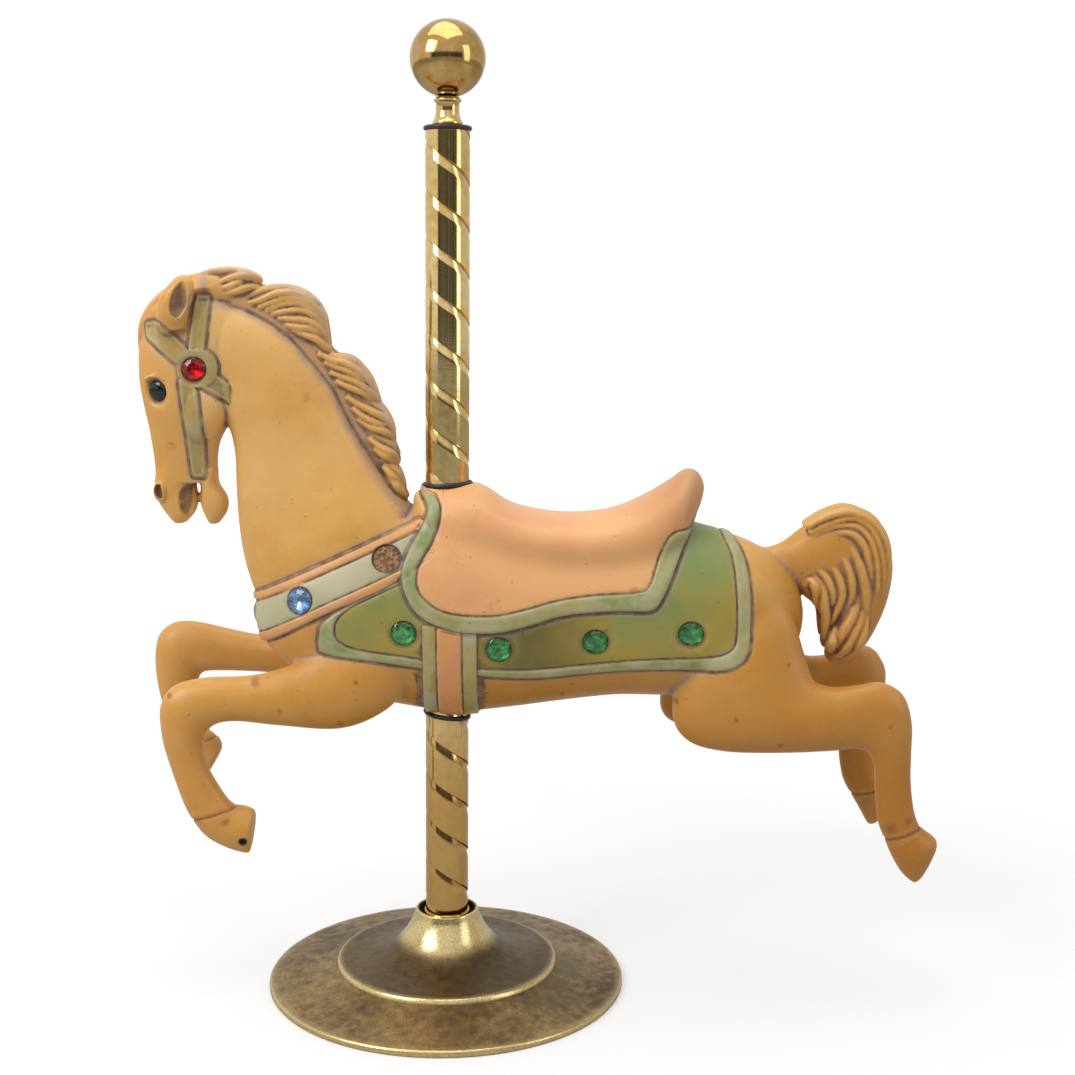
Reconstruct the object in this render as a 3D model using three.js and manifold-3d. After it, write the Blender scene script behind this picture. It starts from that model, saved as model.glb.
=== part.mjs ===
// Carousel horse on a twisted brass pole with a round stand.
// Millimetres, +Z up. The origin is the centre of the stand's underside, on the pole's axis.
// The horse faces -X, and its left side faces -Y.
import * as THREE from 'three';
import { mergeVertices } from 'three/addons/utils/BufferGeometryUtils.js';
import Module from 'manifold-3d';

const wasm = await Module();
wasm.setup();

// Gap left between pieces that touch on the real object.
const FIT_CLEARANCE = 0.3;

// Pole: a tube twisted with two grooves.
const POLE_DIAMETER = 31.75;
const POLE_FOOT_HEIGHT = 42;
const POLE_TOP_HEIGHT = 626;
const POLE_GROOVE_STARTS = 2;
const POLE_GROOVE_SPACING = 32.5;
const POLE_GROOVE_DEPTH = 1.3;
const POLE_GROOVE_HALF_ANGLE = 13;
const POLE_GROOVE_AT_FRONT = 605.6;
const POLE_RING_TURN = 48;
const POLE_PLAIN_POINTS = 3;

// Stand: an outer disc, a raised inner tier and a flaring neck that holds the pole.
const STAND_RADIUS = 132.8;
const STAND_RIM_HEIGHT = 5.2;
const STAND_TIER_RADIUS = 82;
const STAND_TIER_HEIGHT = 19;
const STAND_TIER_STEP = 4.5;
const STAND_LIP_RADIUS = 23.6;
const STAND_LIP_HEIGHT = 56;
const STAND_LIP_WIDTH = 2.6;
const STAND_RECESS_DEPTH = 6;
const STAND_RIM_BEVEL = 1.6;
const STAND_RIM_BAND = 22;
const STAND_RIM_BAND_RISE_SHARE = 0.4;
const STAND_TIER_FOOT = 1.5;
const STAND_TIER_BEVEL_WIDTH = 1.8;
const STAND_TIER_BEVEL_HEIGHT = 1;
const STAND_LIP_BEVEL = 0.8;
const STAND_NECK_PLACES = [0.25, 0.55, 0.78, 0.92];
const STAND_NECK_SLOPE = 0.16;
const STAND_NECK_FLARE = 0.7;
const STAND_NECK_FLARE_POWER = 4.2;
const STAND_SIDES = 28;

// Small ring round the foot of the pole.
const FOOT_RING_WALL = 1.5;
const FOOT_RING_HEIGHT = 5;

// Finial: a ball on a turned neck over a dark gasket.
const FINIAL_GASKET_RADIUS = 17.2;
const FINIAL_GASKET_HEIGHT = 3.3;
const FINIAL_GASKET_BEVEL = 0.7;
const FINIAL_NECK_HEIGHT = 19.3;
const FINIAL_FOOT_RADIUS = 10.9;
const FINIAL_FOOT_BAND = 2;
const FINIAL_WAIST_RADIUS = 8.25;
const FINIAL_WAIST_RISE = 10.5;
const FINIAL_RING_RADIUS = 9.8;
const FINIAL_RING_RISE = 17.1;
const FINIAL_RING_DROP = 2;
const BALL_RADIUS = 27;
const FINIAL_GASKET_BOTTOM = POLE_TOP_HEIGHT + FIT_CLEARANCE;
const FINIAL_FOOT_HEIGHT = FINIAL_GASKET_BOTTOM + FINIAL_GASKET_HEIGHT + FIT_CLEARANCE;
const FINIAL_NECK_TOP = FINIAL_FOOT_HEIGHT + FINIAL_NECK_HEIGHT;
const BALL_SEAT_DROP = Math.sqrt(BALL_RADIUS ** 2 - FINIAL_WAIST_RADIUS ** 2);
const BALL_HEIGHT = FINIAL_NECK_TOP + FIT_CLEARANCE + BALL_SEAT_DROP;

// Gaskets round the pole above the saddle and below the belly, each tilted with the surface.
const SADDLE_GASKET_RADIUS = 18.5;
const SADDLE_GASKET_LEVEL = 377;
const SADDLE_GASKET_TILT = 3;
const BELLY_GASKET_RADIUS = 17.6;
const BELLY_GASKET_LEVEL = 206.2;
const BELLY_GASKET_TILT = -7;
const GASKET_HEIGHT = 3.6;
const GASKET_ROOM_REACH = 100;
const RING_BEVEL_SHARE = 0.2;

// Set stones.
const GREEN_JEWEL_DIAMETER = 17.6;
const BLUE_JEWEL_DIAMETER = 19;
const FRONT_JEWEL_DIAMETER = 17;
const RED_JEWEL_DIAMETER = 17;
const EYE_DIAMETER = 14.5;
const JEWEL_SINK = 2.4;
const JEWEL_DOME = 3;
const JEWEL_TABLE_SHARE = 0.6;
const SEAT_REACH = 10;
const SEAT_SAMPLE_REACH = 2.5;
const EYE_DOME = 2.6;
const EMPTY_SOCKET_DIAMETER = 20.5;
const EMPTY_SOCKET_DEPTH = 2.2;
const HOOF_HOLE_DIAMETER = 5.5;
const HOOF_HOLE_DEPTH = 4;

// Carved layers over the horse's body.
const BLANKET_RISE = 1.1;
const COLLAR_RISE = 1.5;
const GIRTH_RISE = 2;
const FLAP_RISE = 2.6;
const BRIDLE_RISE = 1;
const ROSETTE_RISE = 1.5;

// The horse: its length, and the level of the belly at the pole. The tables below give its pose
// and carving in thousandths of that length, from the pole's axis and the belly level.
const HORSE_LENGTH = 565;
const BELLY_LEVEL = 205.3;
const SHARE = HORSE_LENGTH / 1000;
const SLAB_REACH = 200;

// Each row is a cross-section: front or top edge x z, back or bottom edge x z, middle y, half width.
const TORSO = [
  [-246, 142, -244, 124, 0, 10],
  [-240, 165, -236, 100, 0, 34],
  [-222, 192, -216, 78, 0, 55],
  [-180, 228, -180, 48, 0, 72],
  [-120, 258, -120, 27, 0, 80],
  [-50, 275, -50, 14, 0, 82],
  [10, 280, 10, 6, 0, 83],
  [80, 262, 80, 13, 0, 83],
  [150, 251, 150, 23, 0, 82],
  [220, 253, 220, 31, 0, 82],
  [290, 259, 285, 31, 0, 84],
  [345, 249, 335, 34, 0, 83],
  [392, 233, 392, 50, 0, 74],
  [430, 208, 428, 74, 0, 58],
  [452, 178, 450, 96, 0, 38],
  [460, 150, 459, 118, 0, 14],
];
const NECK = [
  [-218, 100, -20, 250, 0, 62],
  [-242, 148, -66, 300, 0, 60],
  [-256, 186, -98, 345, 0, 52],
  [-264, 220, -122, 386, 0, 46],
  [-268, 256, -141, 424, 0, 42],
  [-270, 300, -165, 458, 0, 39],
  [-271, 342, -192, 487, 0, 37],
  [-279, 376, -224, 511, 0, 35],
  [-300, 404, -262, 528, 0, 33],
  [-322, 424, -300, 532, 0, 28],
];
const HEAD = [
  [-300, 547, -268, 534, 0, 14],
  [-338, 539, -254, 505, 0, 28],
  [-374, 514, -250, 470, 0, 34],
  [-389, 478, -256, 436, 0, 38],
  [-391, 438, -264, 402, 0, 39],
  [-386, 402, -277, 380, 0, 35],
  [-380, 372, -290, 356, 0, 30],
  [-375, 336, -294, 332, 0, 27],
  [-373, 306, -294, 303, 0, 25],
];
const UPPER_LIP = [
  [-372, 322, -326, 322, 0, 24],
  [-375, 298, -322, 300, 0, 25],
  [-371, 279, -320, 281, 0, 23],
  [-360, 261, -324, 265, 0, 19],
  [-350, 249, -336, 251, 0, 10],
];
const LOWER_LIP = [
  [-318, 322, -294, 322, 0, 22],
  [-316, 300, -293, 303, 0, 21],
  [-317, 281, -282, 284, 0, 21],
  [-313, 264, -283, 266, 0, 18],
  [-306, 249, -294, 250, 0, 9],
];
const CHEEK = [
  [-338, 432, -300, 450, 0, 34],
  [-344, 405, -275, 425, 0, 42],
  [-342, 385, -273, 394, 0, 43],
  [-334, 366, -287, 368, 0, 36],
  [-320, 356, -300, 356, 0, 24],
];
const EAR = [
  [-355, 492, -324, 500, -32, 12],
  [-360, 512, -318, 520, -38, 14],
  [-354, 536, -311, 544, -41, 12],
  [-341, 554, -312, 558, -41, 8],
  [-330, 564, -321, 566, -40, 3],
];
const EAR_HOLLOW = [
  [-336, 508, -320, 512, -56, 8],
  [-340, 524, -314, 530, -56, 12],
  [-334, 546, -316, 548, -56, 8],
];
const FORELOCK = [
  [-262, 572, -256, 520, 0, 20],
  [-304, 574, -292, 520, 0, 27],
  [-338, 558, -318, 510, 0, 26],
  [-366, 540, -340, 498, 0, 25],
  [-386, 519, -360, 484, 0, 21],
  [-393, 492, -376, 472, 0, 12],
];
const NEAR_FORE_LEG = [
  [-112, 130, -40, 62, -48, 26],
  [-160, 98, -70, 22, -56, 31],
  [-200, 77, -128, -3, -63, 29],
  [-248, 66, -205, 1, -68, 25],
  [-302, 64, -262, 7, -71, 22],
  [-342, 53, -290, 2, -71, 23],
  [-359, 28, -302, -12, -71, 24],
  [-359, -6, -304, -32, -71, 21],
  [-354, -34, -299, -55, -71, 19],
  [-334, -98, -273, -98, -71, 19],
  [-319, -127, -260, -103, -71, 21],
  [-302, -147, -251, -104, -71, 21],
  [-274, -161, -245, -107, -71, 23],
  [-248, -168, -240, -109, -71, 22],
];
const FAR_FORE_LEG = [
  [-112, 150, -50, 82, 46, 26],
  [-170, 120, -100, 45, 54, 30],
  [-215, 95, -180, 32, 62, 27],
  [-262, 91, -248, 38, 68, 23],
  [-352, 108, -326, 38, 71, 22],
  [-388, 95, -338, 30, 71, 24],
  [-398, 64, -343, 16, 71, 22],
  [-397, 28, -345, -2, 71, 19],
  [-390, -8, -339, -24, 71, 18],
  [-378, -42, -330, -42, 71, 19],
  [-366, -70, -315, -52, 71, 21],
  [-350, -92, -311, -60, 71, 22],
  [-330, -106, -309, -68, 71, 21],
];
const NEAR_HIND_LEG = [
  [400, 200, 300, 80, -38, 34],
  [438, 152, 290, 16, -48, 38],
  [456, 98, 309, -17, -56, 36],
  [468, 66, 356, -29, -62, 33],
  [492, 58, 430, -29, -67, 28],
  [522, 62, 492, -25, -71, 24],
  [553, 66, 527, -22, -71, 22],
  [581, 50, 540, -30, -71, 22],
  [593, 14, 545, -40, -71, 20],
  [594, -22, 547, -56, -71, 18],
  [595, -62, 549, -84, -71, 17],
  [600, -98, 554, -118, -71, 19],
  [609, -122, 563, -139, -71, 20],
  [632, -141, 572, -160, -71, 23],
  [626, -166, 587, -185, -71, 19],
  [613, -193, 604, -200, -71, 8],
];
const FAR_HIND_LEG = [
  [400, 200, 300, 80, 38, 34],
  [438, 155, 281, 13, 48, 38],
  [456, 104, 298, -22, 56, 36],
  [470, 74, 350, -26, 62, 33],
  [492, 68, 430, -26, 67, 28],
  [526, 73, 480, -20, 71, 24],
  [562, 81, 514, -12, 71, 22],
  [587, 55, 524, -24, 71, 22],
  [588, 16, 529, -36, 71, 20],
  [582, -30, 527, -52, 71, 18],
  [580, -66, 529, -76, 71, 17],
  [588, -94, 535, -104, 71, 19],
  [602, -110, 546, -124, 71, 21],
  [602, -134, 558, -144, 71, 18],
  [586, -166, 572, -170, 71, 8],
];
const TAIL = [
  [404, 228, 436, 172, 0, 22],
  [428, 236, 452, 170, 0, 26],
  [456, 256, 460, 160, 0, 30],
  [492, 279, 472, 150, 0, 33],
  [528, 283, 482, 138, 0, 34],
  [559, 263, 488, 122, 0, 33],
  [577, 214, 490, 108, 0, 31],
  [574, 164, 489, 94, 0, 28],
  [557, 116, 488, 84, 0, 24],
  [538, 88, 493, 76, 0, 18],
  [518, 74, 504, 71, 0, 6],
];
const SEAT = [
  [-43, 290, -40, 250, 0, 26],
  [-32, 299, -28, 232, 0, 48],
  [0, 301, 0, 226, 0, 62],
  [40, 300, 38, 222, 0, 68],
  [76, 278, 78, 215, 0, 73],
  [110, 268, 112, 210, 0, 76],
  [158, 263, 158, 205, 0, 78],
  [210, 269, 216, 205, 0, 78],
  [252, 286, 264, 208, 0, 76],
  [288, 308, 296, 216, 0, 68],
  [308, 323, 311, 232, 0, 52],
  [321, 317, 318, 250, 0, 34],
  [326, 301, 319, 266, 0, 14],
];

// Mane: the line where it leaves the neck, and the line that its outer ends reach.
const MANE_ROOT = [
  [-300, 534],
  [-258, 526],
  [-226, 510],
  [-194, 486],
  [-169, 456],
  [-143, 424],
  [-126, 386],
  [-105, 347],
  [-79, 307],
  [-50, 266],
];
const MANE_EDGE = [
  [-306, 571],
  [-272, 575],
  [-238, 564],
  [-200, 553],
  [-162, 531],
  [-148, 490],
  [-115, 462],
  [-88, 415],
  [-69, 370],
  [-44, 284],
];
const MANE_LOCKS = 10;
const MANE_LOCK_LEAN = 0.08;
const MANE_ROOT_SINK = 0.25;
const MANE_LOCK_REACH = 1.1;
const MANE_GROOVE_SHARE = 0.1;
const MANE_LOCK_HALF_WIDTH = 25;
const MANE_GROOVE_HALF_WIDTH = 17;
const TAIL_LOCKS = 8;
const TAIL_GROOVE_SHARE = 0.2;

// Outlines of the trappings in side view, x z.
const COLLAR = [
  [-262, 158],
  [-245, 165],
  [-155, 207],
  [-55, 253],
  [-26, 270],
  [-10, 236],
  [-50, 191],
  [-155, 144],
  [-228, 104],
  [-262, 104],
];
const BLANKET = [
  [-154, 143],
  [-159, 106],
  [-155, 95],
  [-98, 89],
  [-47, 80],
  [42, 68],
  [112, 64],
  [192, 74],
  [256, 79],
  [382, 79],
  [385, 164],
  [380, 214],
  [367, 243],
  [346, 263],
  [330, 320],
  [-10, 320],
  [-50, 192],
];
const FLAP = [
  [-16, 310],
  [-18, 275],
  [-31, 252],
  [-51, 216],
  [-55, 190],
  [-38, 151],
  [-6, 132],
  [32, 125],
  [73, 126],
  [112, 137],
  [150, 150],
  [222, 156],
  [262, 154],
  [275, 174],
  [294, 220],
  [310, 258],
  [310, 310],
];
const GIRTH_FRONT = -27;
const GIRTH_BACK = 42;
const GIRTH_TOP = 136;
const GIRTH_BOTTOM = -30;

// Bridle straps in side view: start x z, end x z, width.
const BRIDLE_STRAPS = [
  [-306, 536, -318, 450, 17],
  [-376, 500, -318, 452, 17],
  [-318, 446, -318, 313, 17],
  [-312, 440, -264, 408, 19],
];
const ROSETTE_AT = [-314, 449];
const ROSETTE_RADIUS = 22;
const ROSETTE_POINTS = 8;

// Mouth, see-through slit and hollow beside the tongue, in side view.
const MOUTH_HOLLOW = [
  [-338, 290],
  [-332, 297],
  [-320, 299],
  [-310, 296],
  [-312, 270],
  [-320, 262],
  [-330, 258],
  [-337, 268],
];
const TONGUE_HALF_WIDTH = 9;
const NOSTRIL = [
  [-369, 303, -362, 303, -24, 4],
  [-371, 293, -360, 293, -24, 8],
  [-366, 284, -360, 284, -24, 4],
];

// Places of the set stones in side view, x z.
const GREEN_JEWELS_AT = [
  [-50, 125],
  [69, 105],
  [190, 116],
  [309, 128],
];
const BLUE_JEWEL_AT = [-181, 163];
const EMPTY_SOCKET_AT = [-72, 218];
const FRONT_JEWEL_LEVEL = 136;
const EYE_AT = [-362, 421];
const HOOF_HOLE_AT = [-254, -145];

// Colours of the real finishes.
const HORSE_COLOUR = 0xc99a58;
const BRASS_COLOUR = 0xcfa95a;
const STAND_COLOUR = 0x8a6f3c;
const BALL_COLOUR = 0xb8924e;
const GASKET_COLOUR = 0x1d1a19;
const FINIAL_GASKET_COLOUR = 0x3a241a;
const GREEN_COLOUR = 0x2f9a58;
const BLUE_COLOUR = 0x3f7fd0;
const RED_COLOUR = 0xb3122a;
const EYE_COLOUR = 0x141110;
const PAINT_ROUGHNESS = 0.45;
const POLISHED_ROUGHNESS = 0.18;
const STAND_ROUGHNESS = 0.45;
const BALL_ROUGHNESS = 0.3;
const RUBBER_ROUGHNESS = 0.6;
const STONE_ROUGHNESS = 0.1;

// Facet counts.
const TORSO_SIDES = 16;
const NECK_SIDES = 12;
const HEAD_SIDES = 10;
const LEG_SIDES = 8;
const LOCK_SIDES = 5;
const SMALL_SIDES = 8;
const RING_SIDES = 14;
const JEWEL_SIDES = 8;
const BALL_SIDES = 16;
const BALL_BANDS = 8;

// Value between four neighbours in a row of values, t from 0 to 1 between b and c.
function curveValue(a, b, c, d, t) {
  const squared = t * t;
  const cubed = squared * t;
  const first = 2 * b + (c - a) * t;
  const second = (2 * a - 5 * b + 4 * c - d) * squared;
  const third = (3 * b - a - 3 * c + d) * cubed;
  return (first + second + third) / 2;
}

// Row at a place along a table, 0 at its first row and 1 at its last.
function rowAt(table, place) {
  const last = table.length - 1;
  const scaled = Math.min(Math.max(place, 0), 1) * last;
  const index = Math.min(Math.floor(scaled), last - 1);
  const t = scaled - index;
  const before = table[Math.max(index - 1, 0)];
  const after = table[Math.min(index + 2, last)];
  return table[index].map((value, column) =>
    curveValue(before[column], value, table[index + 1][column], after[column], t));
}

// Closed skin over a list of rings of points. The end rings are closed by fans, or joined.
function skin(rings, joined = false) {
  const sides = rings[0].length;
  const positions = rings.flat().flatMap((point) => [point.x, point.y, point.z]);
  const triangles = [];
  const bands = joined ? rings.length : rings.length - 1;
  for (let band = 0; band < bands; band += 1) {
    const low = band * sides;
    const high = ((band + 1) % rings.length) * sides;
    for (let side = 0; side < sides; side += 1) {
      const next = (side + 1) % sides;
      triangles.push(low + side, low + next, high + next);
      triangles.push(low + side, high + next, high + side);
    }
  }
  if (!joined) {
    closeEnd(rings[0], 0, positions, triangles, true);
    closeEnd(rings.at(-1), (rings.length - 1) * sides, positions, triangles, false);
  }
  return outward(positions, triangles);
}

// Fan from the middle of an end ring.
function closeEnd(ring, start, positions, triangles, isFirst) {
  const middle = new THREE.Vector3();
  ring.forEach((point) => middle.addScaledVector(point, 1 / ring.length));
  const centre = positions.length / 3;
  positions.push(middle.x, middle.y, middle.z);
  ring.forEach((point, side) => {
    const here = start + side;
    const next = start + ((side + 1) % ring.length);
    triangles.push(centre, isFirst ? next : here, isFirst ? here : next);
  });
}

// Geometry with its faces pointing out.
function outward(positions, triangles) {
  const corner = (index) => new THREE.Vector3().fromArray(positions, index * 3);
  let volume = 0;
  for (let index = 0; index < triangles.length; index += 3) {
    const a = corner(triangles[index]);
    const b = corner(triangles[index + 1]);
    const c = corner(triangles[index + 2]);
    volume += a.dot(b.cross(c));
  }
  const geometry = new THREE.BufferGeometry();
  geometry.setAttribute('position', new THREE.Float32BufferAttribute(positions, 3));
  geometry.setIndex(volume < 0 ? triangles.slice().reverse() : triangles);
  return geometry;
}

// Solid from a geometry, for cutting and joining.
function toSolid(geometry) {
  const bare = geometry.clone();
  bare.deleteAttribute('normal');
  bare.deleteAttribute('uv');
  const welded = mergeVertices(bare, 1e-4);
  const vertProperties = new Float32Array(welded.attributes.position.array);
  const triVerts = new Uint32Array(welded.index.array);
  return new wasm.Manifold(new wasm.Mesh({ numProp: 3, vertProperties, triVerts }));
}

// Geometry from a solid.
function toGeometry(solid) {
  const mesh = solid.getMesh();
  const geometry = new THREE.BufferGeometry();
  geometry.setAttribute('position', new THREE.BufferAttribute(new Float32Array(mesh.vertProperties), 3));
  geometry.setIndex(new THREE.BufferAttribute(new Uint32Array(mesh.triVerts), 1));
  return geometry;
}

// One solid from several.
function joinAll(solids) {
  return solids.reduce((whole, solid) => whole.add(solid));
}

// Point on the horse from its table shares.
function place(x, z) {
  return new THREE.Vector3(x * SHARE, 0, BELLY_LEVEL + z * SHARE);
}

// Oval ring for a table row, made larger all round by grow.
function sectionRing(row, sides, grow) {
  const [frontX, frontZ, backX, backZ, y, halfWidth] = row;
  const front = place(frontX, frontZ);
  const back = place(backX, backZ);
  const middle = front.clone().lerp(back, 0.5);
  const across = front.clone().sub(middle);
  const depth = across.length();
  across.normalize();
  const ring = [];
  for (let side = 0; side < sides; side += 1) {
    const angle = (2 * Math.PI * side) / sides;
    const point = middle.clone().addScaledVector(across, Math.cos(angle) * (depth + grow));
    point.y = y * SHARE + Math.sin(angle) * (halfWidth * SHARE + grow);
    ring.push(point);
  }
  return ring;
}

// Rounded limb through a table of cross-sections.
function limb(table, sides, stepsPerRow = 1, grow = 0) {
  const count = (table.length - 1) * stepsPerRow;
  const rings = [];
  for (let step = 0; step <= count; step += 1) {
    rings.push(sectionRing(rowAt(table, step / count), sides, grow));
  }
  return toSolid(skin(rings));
}

// The same table on the other side of the horse.
function mirrored(table) {
  return table.map((row) => row.map((value, column) => (column === 4 ? -value : value)));
}

// Slab with a side-view outline, from one y to another.
function slab(outline, fromY, toY) {
  const shape = new THREE.Shape(outline.map(([x, z]) => {
    const point = place(x, z);
    return new THREE.Vector2(point.x, point.z);
  }));
  const depth = toY - fromY;
  const geometry = new THREE.ExtrudeGeometry(shape, { depth, bevelEnabled: false });
  geometry.rotateX(Math.PI / 2);
  geometry.translate(0, toY, 0);
  return toSolid(geometry);
}

// Outline of a strap between two places.
function strapOutline([startX, startZ, endX, endZ, width]) {
  const along = new THREE.Vector2(endX - startX, endZ - startZ).normalize();
  const sideX = (-along.y * width) / 2;
  const sideZ = (along.x * width) / 2;
  return [
    [startX + sideX, startZ + sideZ],
    [endX + sideX, endZ + sideZ],
    [endX - sideX, endZ - sideZ],
    [startX - sideX, startZ - sideZ],
  ];
}

// Outline of a round boss.
function roundOutline([x, z], radius, points) {
  return Array.from({ length: points }, (unused, index) => {
    const angle = (2 * Math.PI * index) / points;
    return [x + radius * Math.cos(angle), z + radius * Math.sin(angle)];
  });
}

// Ring of points round the pole's axis, with an optional slope along X.
function turnedRing(radius, height, sides, slope = 0) {
  return Array.from({ length: sides }, (unused, side) => {
    const angle = (2 * Math.PI * side) / sides;
    const x = radius * Math.cos(angle);
    return new THREE.Vector3(x, radius * Math.sin(angle), height + x * slope);
  });
}

// Turned piece from a profile of radius and height pairs.
function turned(profile, sides, joined = false, slope = 0) {
  const rings = profile.map(([radius, height]) => turnedRing(radius, height, sides, slope));
  return skin(rings, joined);
}

// Hollow ring round the pole with rounded edges, tilted along X.
function poleRing(radius, bottom, height, tiltDegrees = 0) {
  const inner = (POLE_DIAMETER / 2 + FIT_CLEARANCE) / Math.cos(Math.PI / RING_SIDES);
  const profile = [
    [inner, bottom],
    [radius - height * RING_BEVEL_SHARE, bottom],
    [radius, bottom + height / 2],
    [inner, bottom + height],
  ];
  return turned(profile, RING_SIDES, true, Math.tan(THREE.MathUtils.degToRad(tiltDegrees)));
}

// The horse's body without its carved layers, made larger by grow.
function bodySolid(grow) {
  return joinAll([
    limb(TORSO, TORSO_SIDES, 1, grow),
    limb(NECK, NECK_SIDES, 1, grow),
    limb(NEAR_FORE_LEG, LEG_SIDES, 1, grow),
    limb(FAR_FORE_LEG, LEG_SIDES, 1, grow),
    limb(NEAR_HIND_LEG, LEG_SIDES, 1, grow),
    limb(FAR_HIND_LEG, LEG_SIDES, 1, grow),
  ]);
}

// The horse's head without straps, made larger by grow.
function headSolid(grow) {
  return joinAll([
    limb(HEAD, HEAD_SIDES, 1, grow),
    limb(CHEEK, HEAD_SIDES, 1, grow),
  ]);
}

// Part of the body's grown surface inside a side-view outline, on both sides.
function layer(grown, outline) {
  return grown.intersect(slab(outline, -SLAB_REACH, SLAB_REACH));
}

// Mane: leaning cross-sections down the neck, by turns a full lock and the groove after it.
function maneSolid() {
  const count = 2 * MANE_LOCKS;
  const rows = [];
  for (let index = 0; index <= count; index += 1) {
    const isLock = index % 2 === 1;
    const along = (index / count) * (1 - MANE_LOCK_LEAN);
    const [rootX, rootZ] = rowAt(MANE_ROOT, along);
    const [edgeX, edgeZ] = rowAt(MANE_EDGE, along + MANE_LOCK_LEAN);
    const out = isLock ? MANE_LOCK_REACH : MANE_LOCK_REACH - MANE_GROOVE_SHARE;
    rows.push([
      rootX + (edgeX - rootX) * out,
      rootZ + (edgeZ - rootZ) * out,
      rootX - (edgeX - rootX) * MANE_ROOT_SINK,
      rootZ - (edgeZ - rootZ) * MANE_ROOT_SINK,
      0,
      isLock ? MANE_LOCK_HALF_WIDTH : MANE_GROOVE_HALF_WIDTH,
    ]);
  }
  return limb(rows, SMALL_SIDES);
}

// Tail: a limb whose section is scalloped, so that locks and grooves run along it.
function tailSolid() {
  const count = TAIL.length - 1;
  const rings = [];
  for (let step = 0; step <= count; step += 1) {
    const row = rowAt(TAIL, step / count);
    const full = sectionRing(row, 2 * TAIL_LOCKS, 0);
    const middle = place((row[0] + row[2]) / 2, (row[1] + row[3]) / 2);
    middle.y = row[4] * SHARE;
    rings.push(full.map((point, side) => (
      side % 2 === 0 ? point : point.clone().lerp(middle, TAIL_GROOVE_SHARE)
    )));
  }
  return toSolid(skin(rings));
}

// Where a line meets a solid first.
function hitPoint(mesh, origin, direction) {
  const caster = new THREE.Raycaster(origin, direction.clone().normalize());
  return caster.intersectObject(mesh)[0].point;
}

// Seat for a stone: the point on the surface and the way out of it.
function stoneSeat(mesh, x, z, side) {
  const target = place(x, z);
  const reach = SEAT_SAMPLE_REACH;
  const sample = (dx, dz) => hitPoint(
    mesh,
    new THREE.Vector3(target.x + dx, side * SLAB_REACH, target.z + dz),
    new THREE.Vector3(0, -side, 0),
  );
  const alongX = sample(reach, 0).sub(sample(-reach, 0));
  const alongZ = sample(0, reach).sub(sample(0, -reach));
  const out = alongX.cross(alongZ).normalize();
  if (out.y * side < 0) {
    out.negate();
  }
  return { point: sample(0, 0), out };
}

// Turned piece moved so that its axis points out of a seat.
function atSeat(geometry, { point, out }) {
  const turn = new THREE.Quaternion().setFromUnitVectors(new THREE.Vector3(0, 0, 1), out);
  const moved = geometry.clone();
  moved.applyQuaternion(turn);
  moved.translate(point.x, point.y, point.z);
  return moved;
}

// Domed stone with a flat back, its girdle level with the surface.
function stone(diameter, dome) {
  const radius = diameter / 2;
  const back = -(JEWEL_SINK - FIT_CLEARANCE);
  return turned([
    [radius, back],
    [radius, 0],
    [radius * JEWEL_TABLE_SHARE, dome],
  ], JEWEL_SIDES);
}

// Round hole for a stone.
function stoneHole(diameter, sink) {
  const radius = diameter / 2 + FIT_CLEARANCE;
  return turned([
    [radius, -sink],
    [radius, SEAT_REACH],
  ], JEWEL_SIDES);
}

// Pole with its twisted grooves.
function poleGeometry() {
  const radius = POLE_DIAMETER / 2;
  const angles = [];
  const startTurn = 360 / POLE_GROOVE_STARTS;
  for (let start = 0; start < POLE_GROOVE_STARTS; start += 1) {
    const groove = start * startTurn;
    angles.push([groove - POLE_GROOVE_HALF_ANGLE, 0], [groove, POLE_GROOVE_DEPTH]);
    angles.push([groove + POLE_GROOVE_HALF_ANGLE, 0]);
    const plain = startTurn - 2 * POLE_GROOVE_HALF_ANGLE;
    for (let step = 1; step <= POLE_PLAIN_POINTS; step += 1) {
      const angle = groove + POLE_GROOVE_HALF_ANGLE + (plain * step) / (POLE_PLAIN_POINTS + 1);
      angles.push([angle, 0]);
    }
  }
  const pitch = POLE_GROOVE_SPACING * POLE_GROOVE_STARTS;
  const length = POLE_TOP_HEIGHT - POLE_FOOT_HEIGHT;
  const count = Math.ceil((length / pitch) * (360 / POLE_RING_TURN));
  const rings = [];
  for (let step = 0; step <= count; step += 1) {
    const height = POLE_FOOT_HEIGHT + (length * step) / count;
    const turn = -90 - (360 * (height - POLE_GROOVE_AT_FRONT)) / pitch;
    rings.push(angles.map(([angle, depth]) => {
      const around = THREE.MathUtils.degToRad(angle + turn);
      const reach = radius - depth;
      return new THREE.Vector3(reach * Math.cos(around), reach * Math.sin(around), height);
    }));
  }
  return skin(rings);
}

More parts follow.
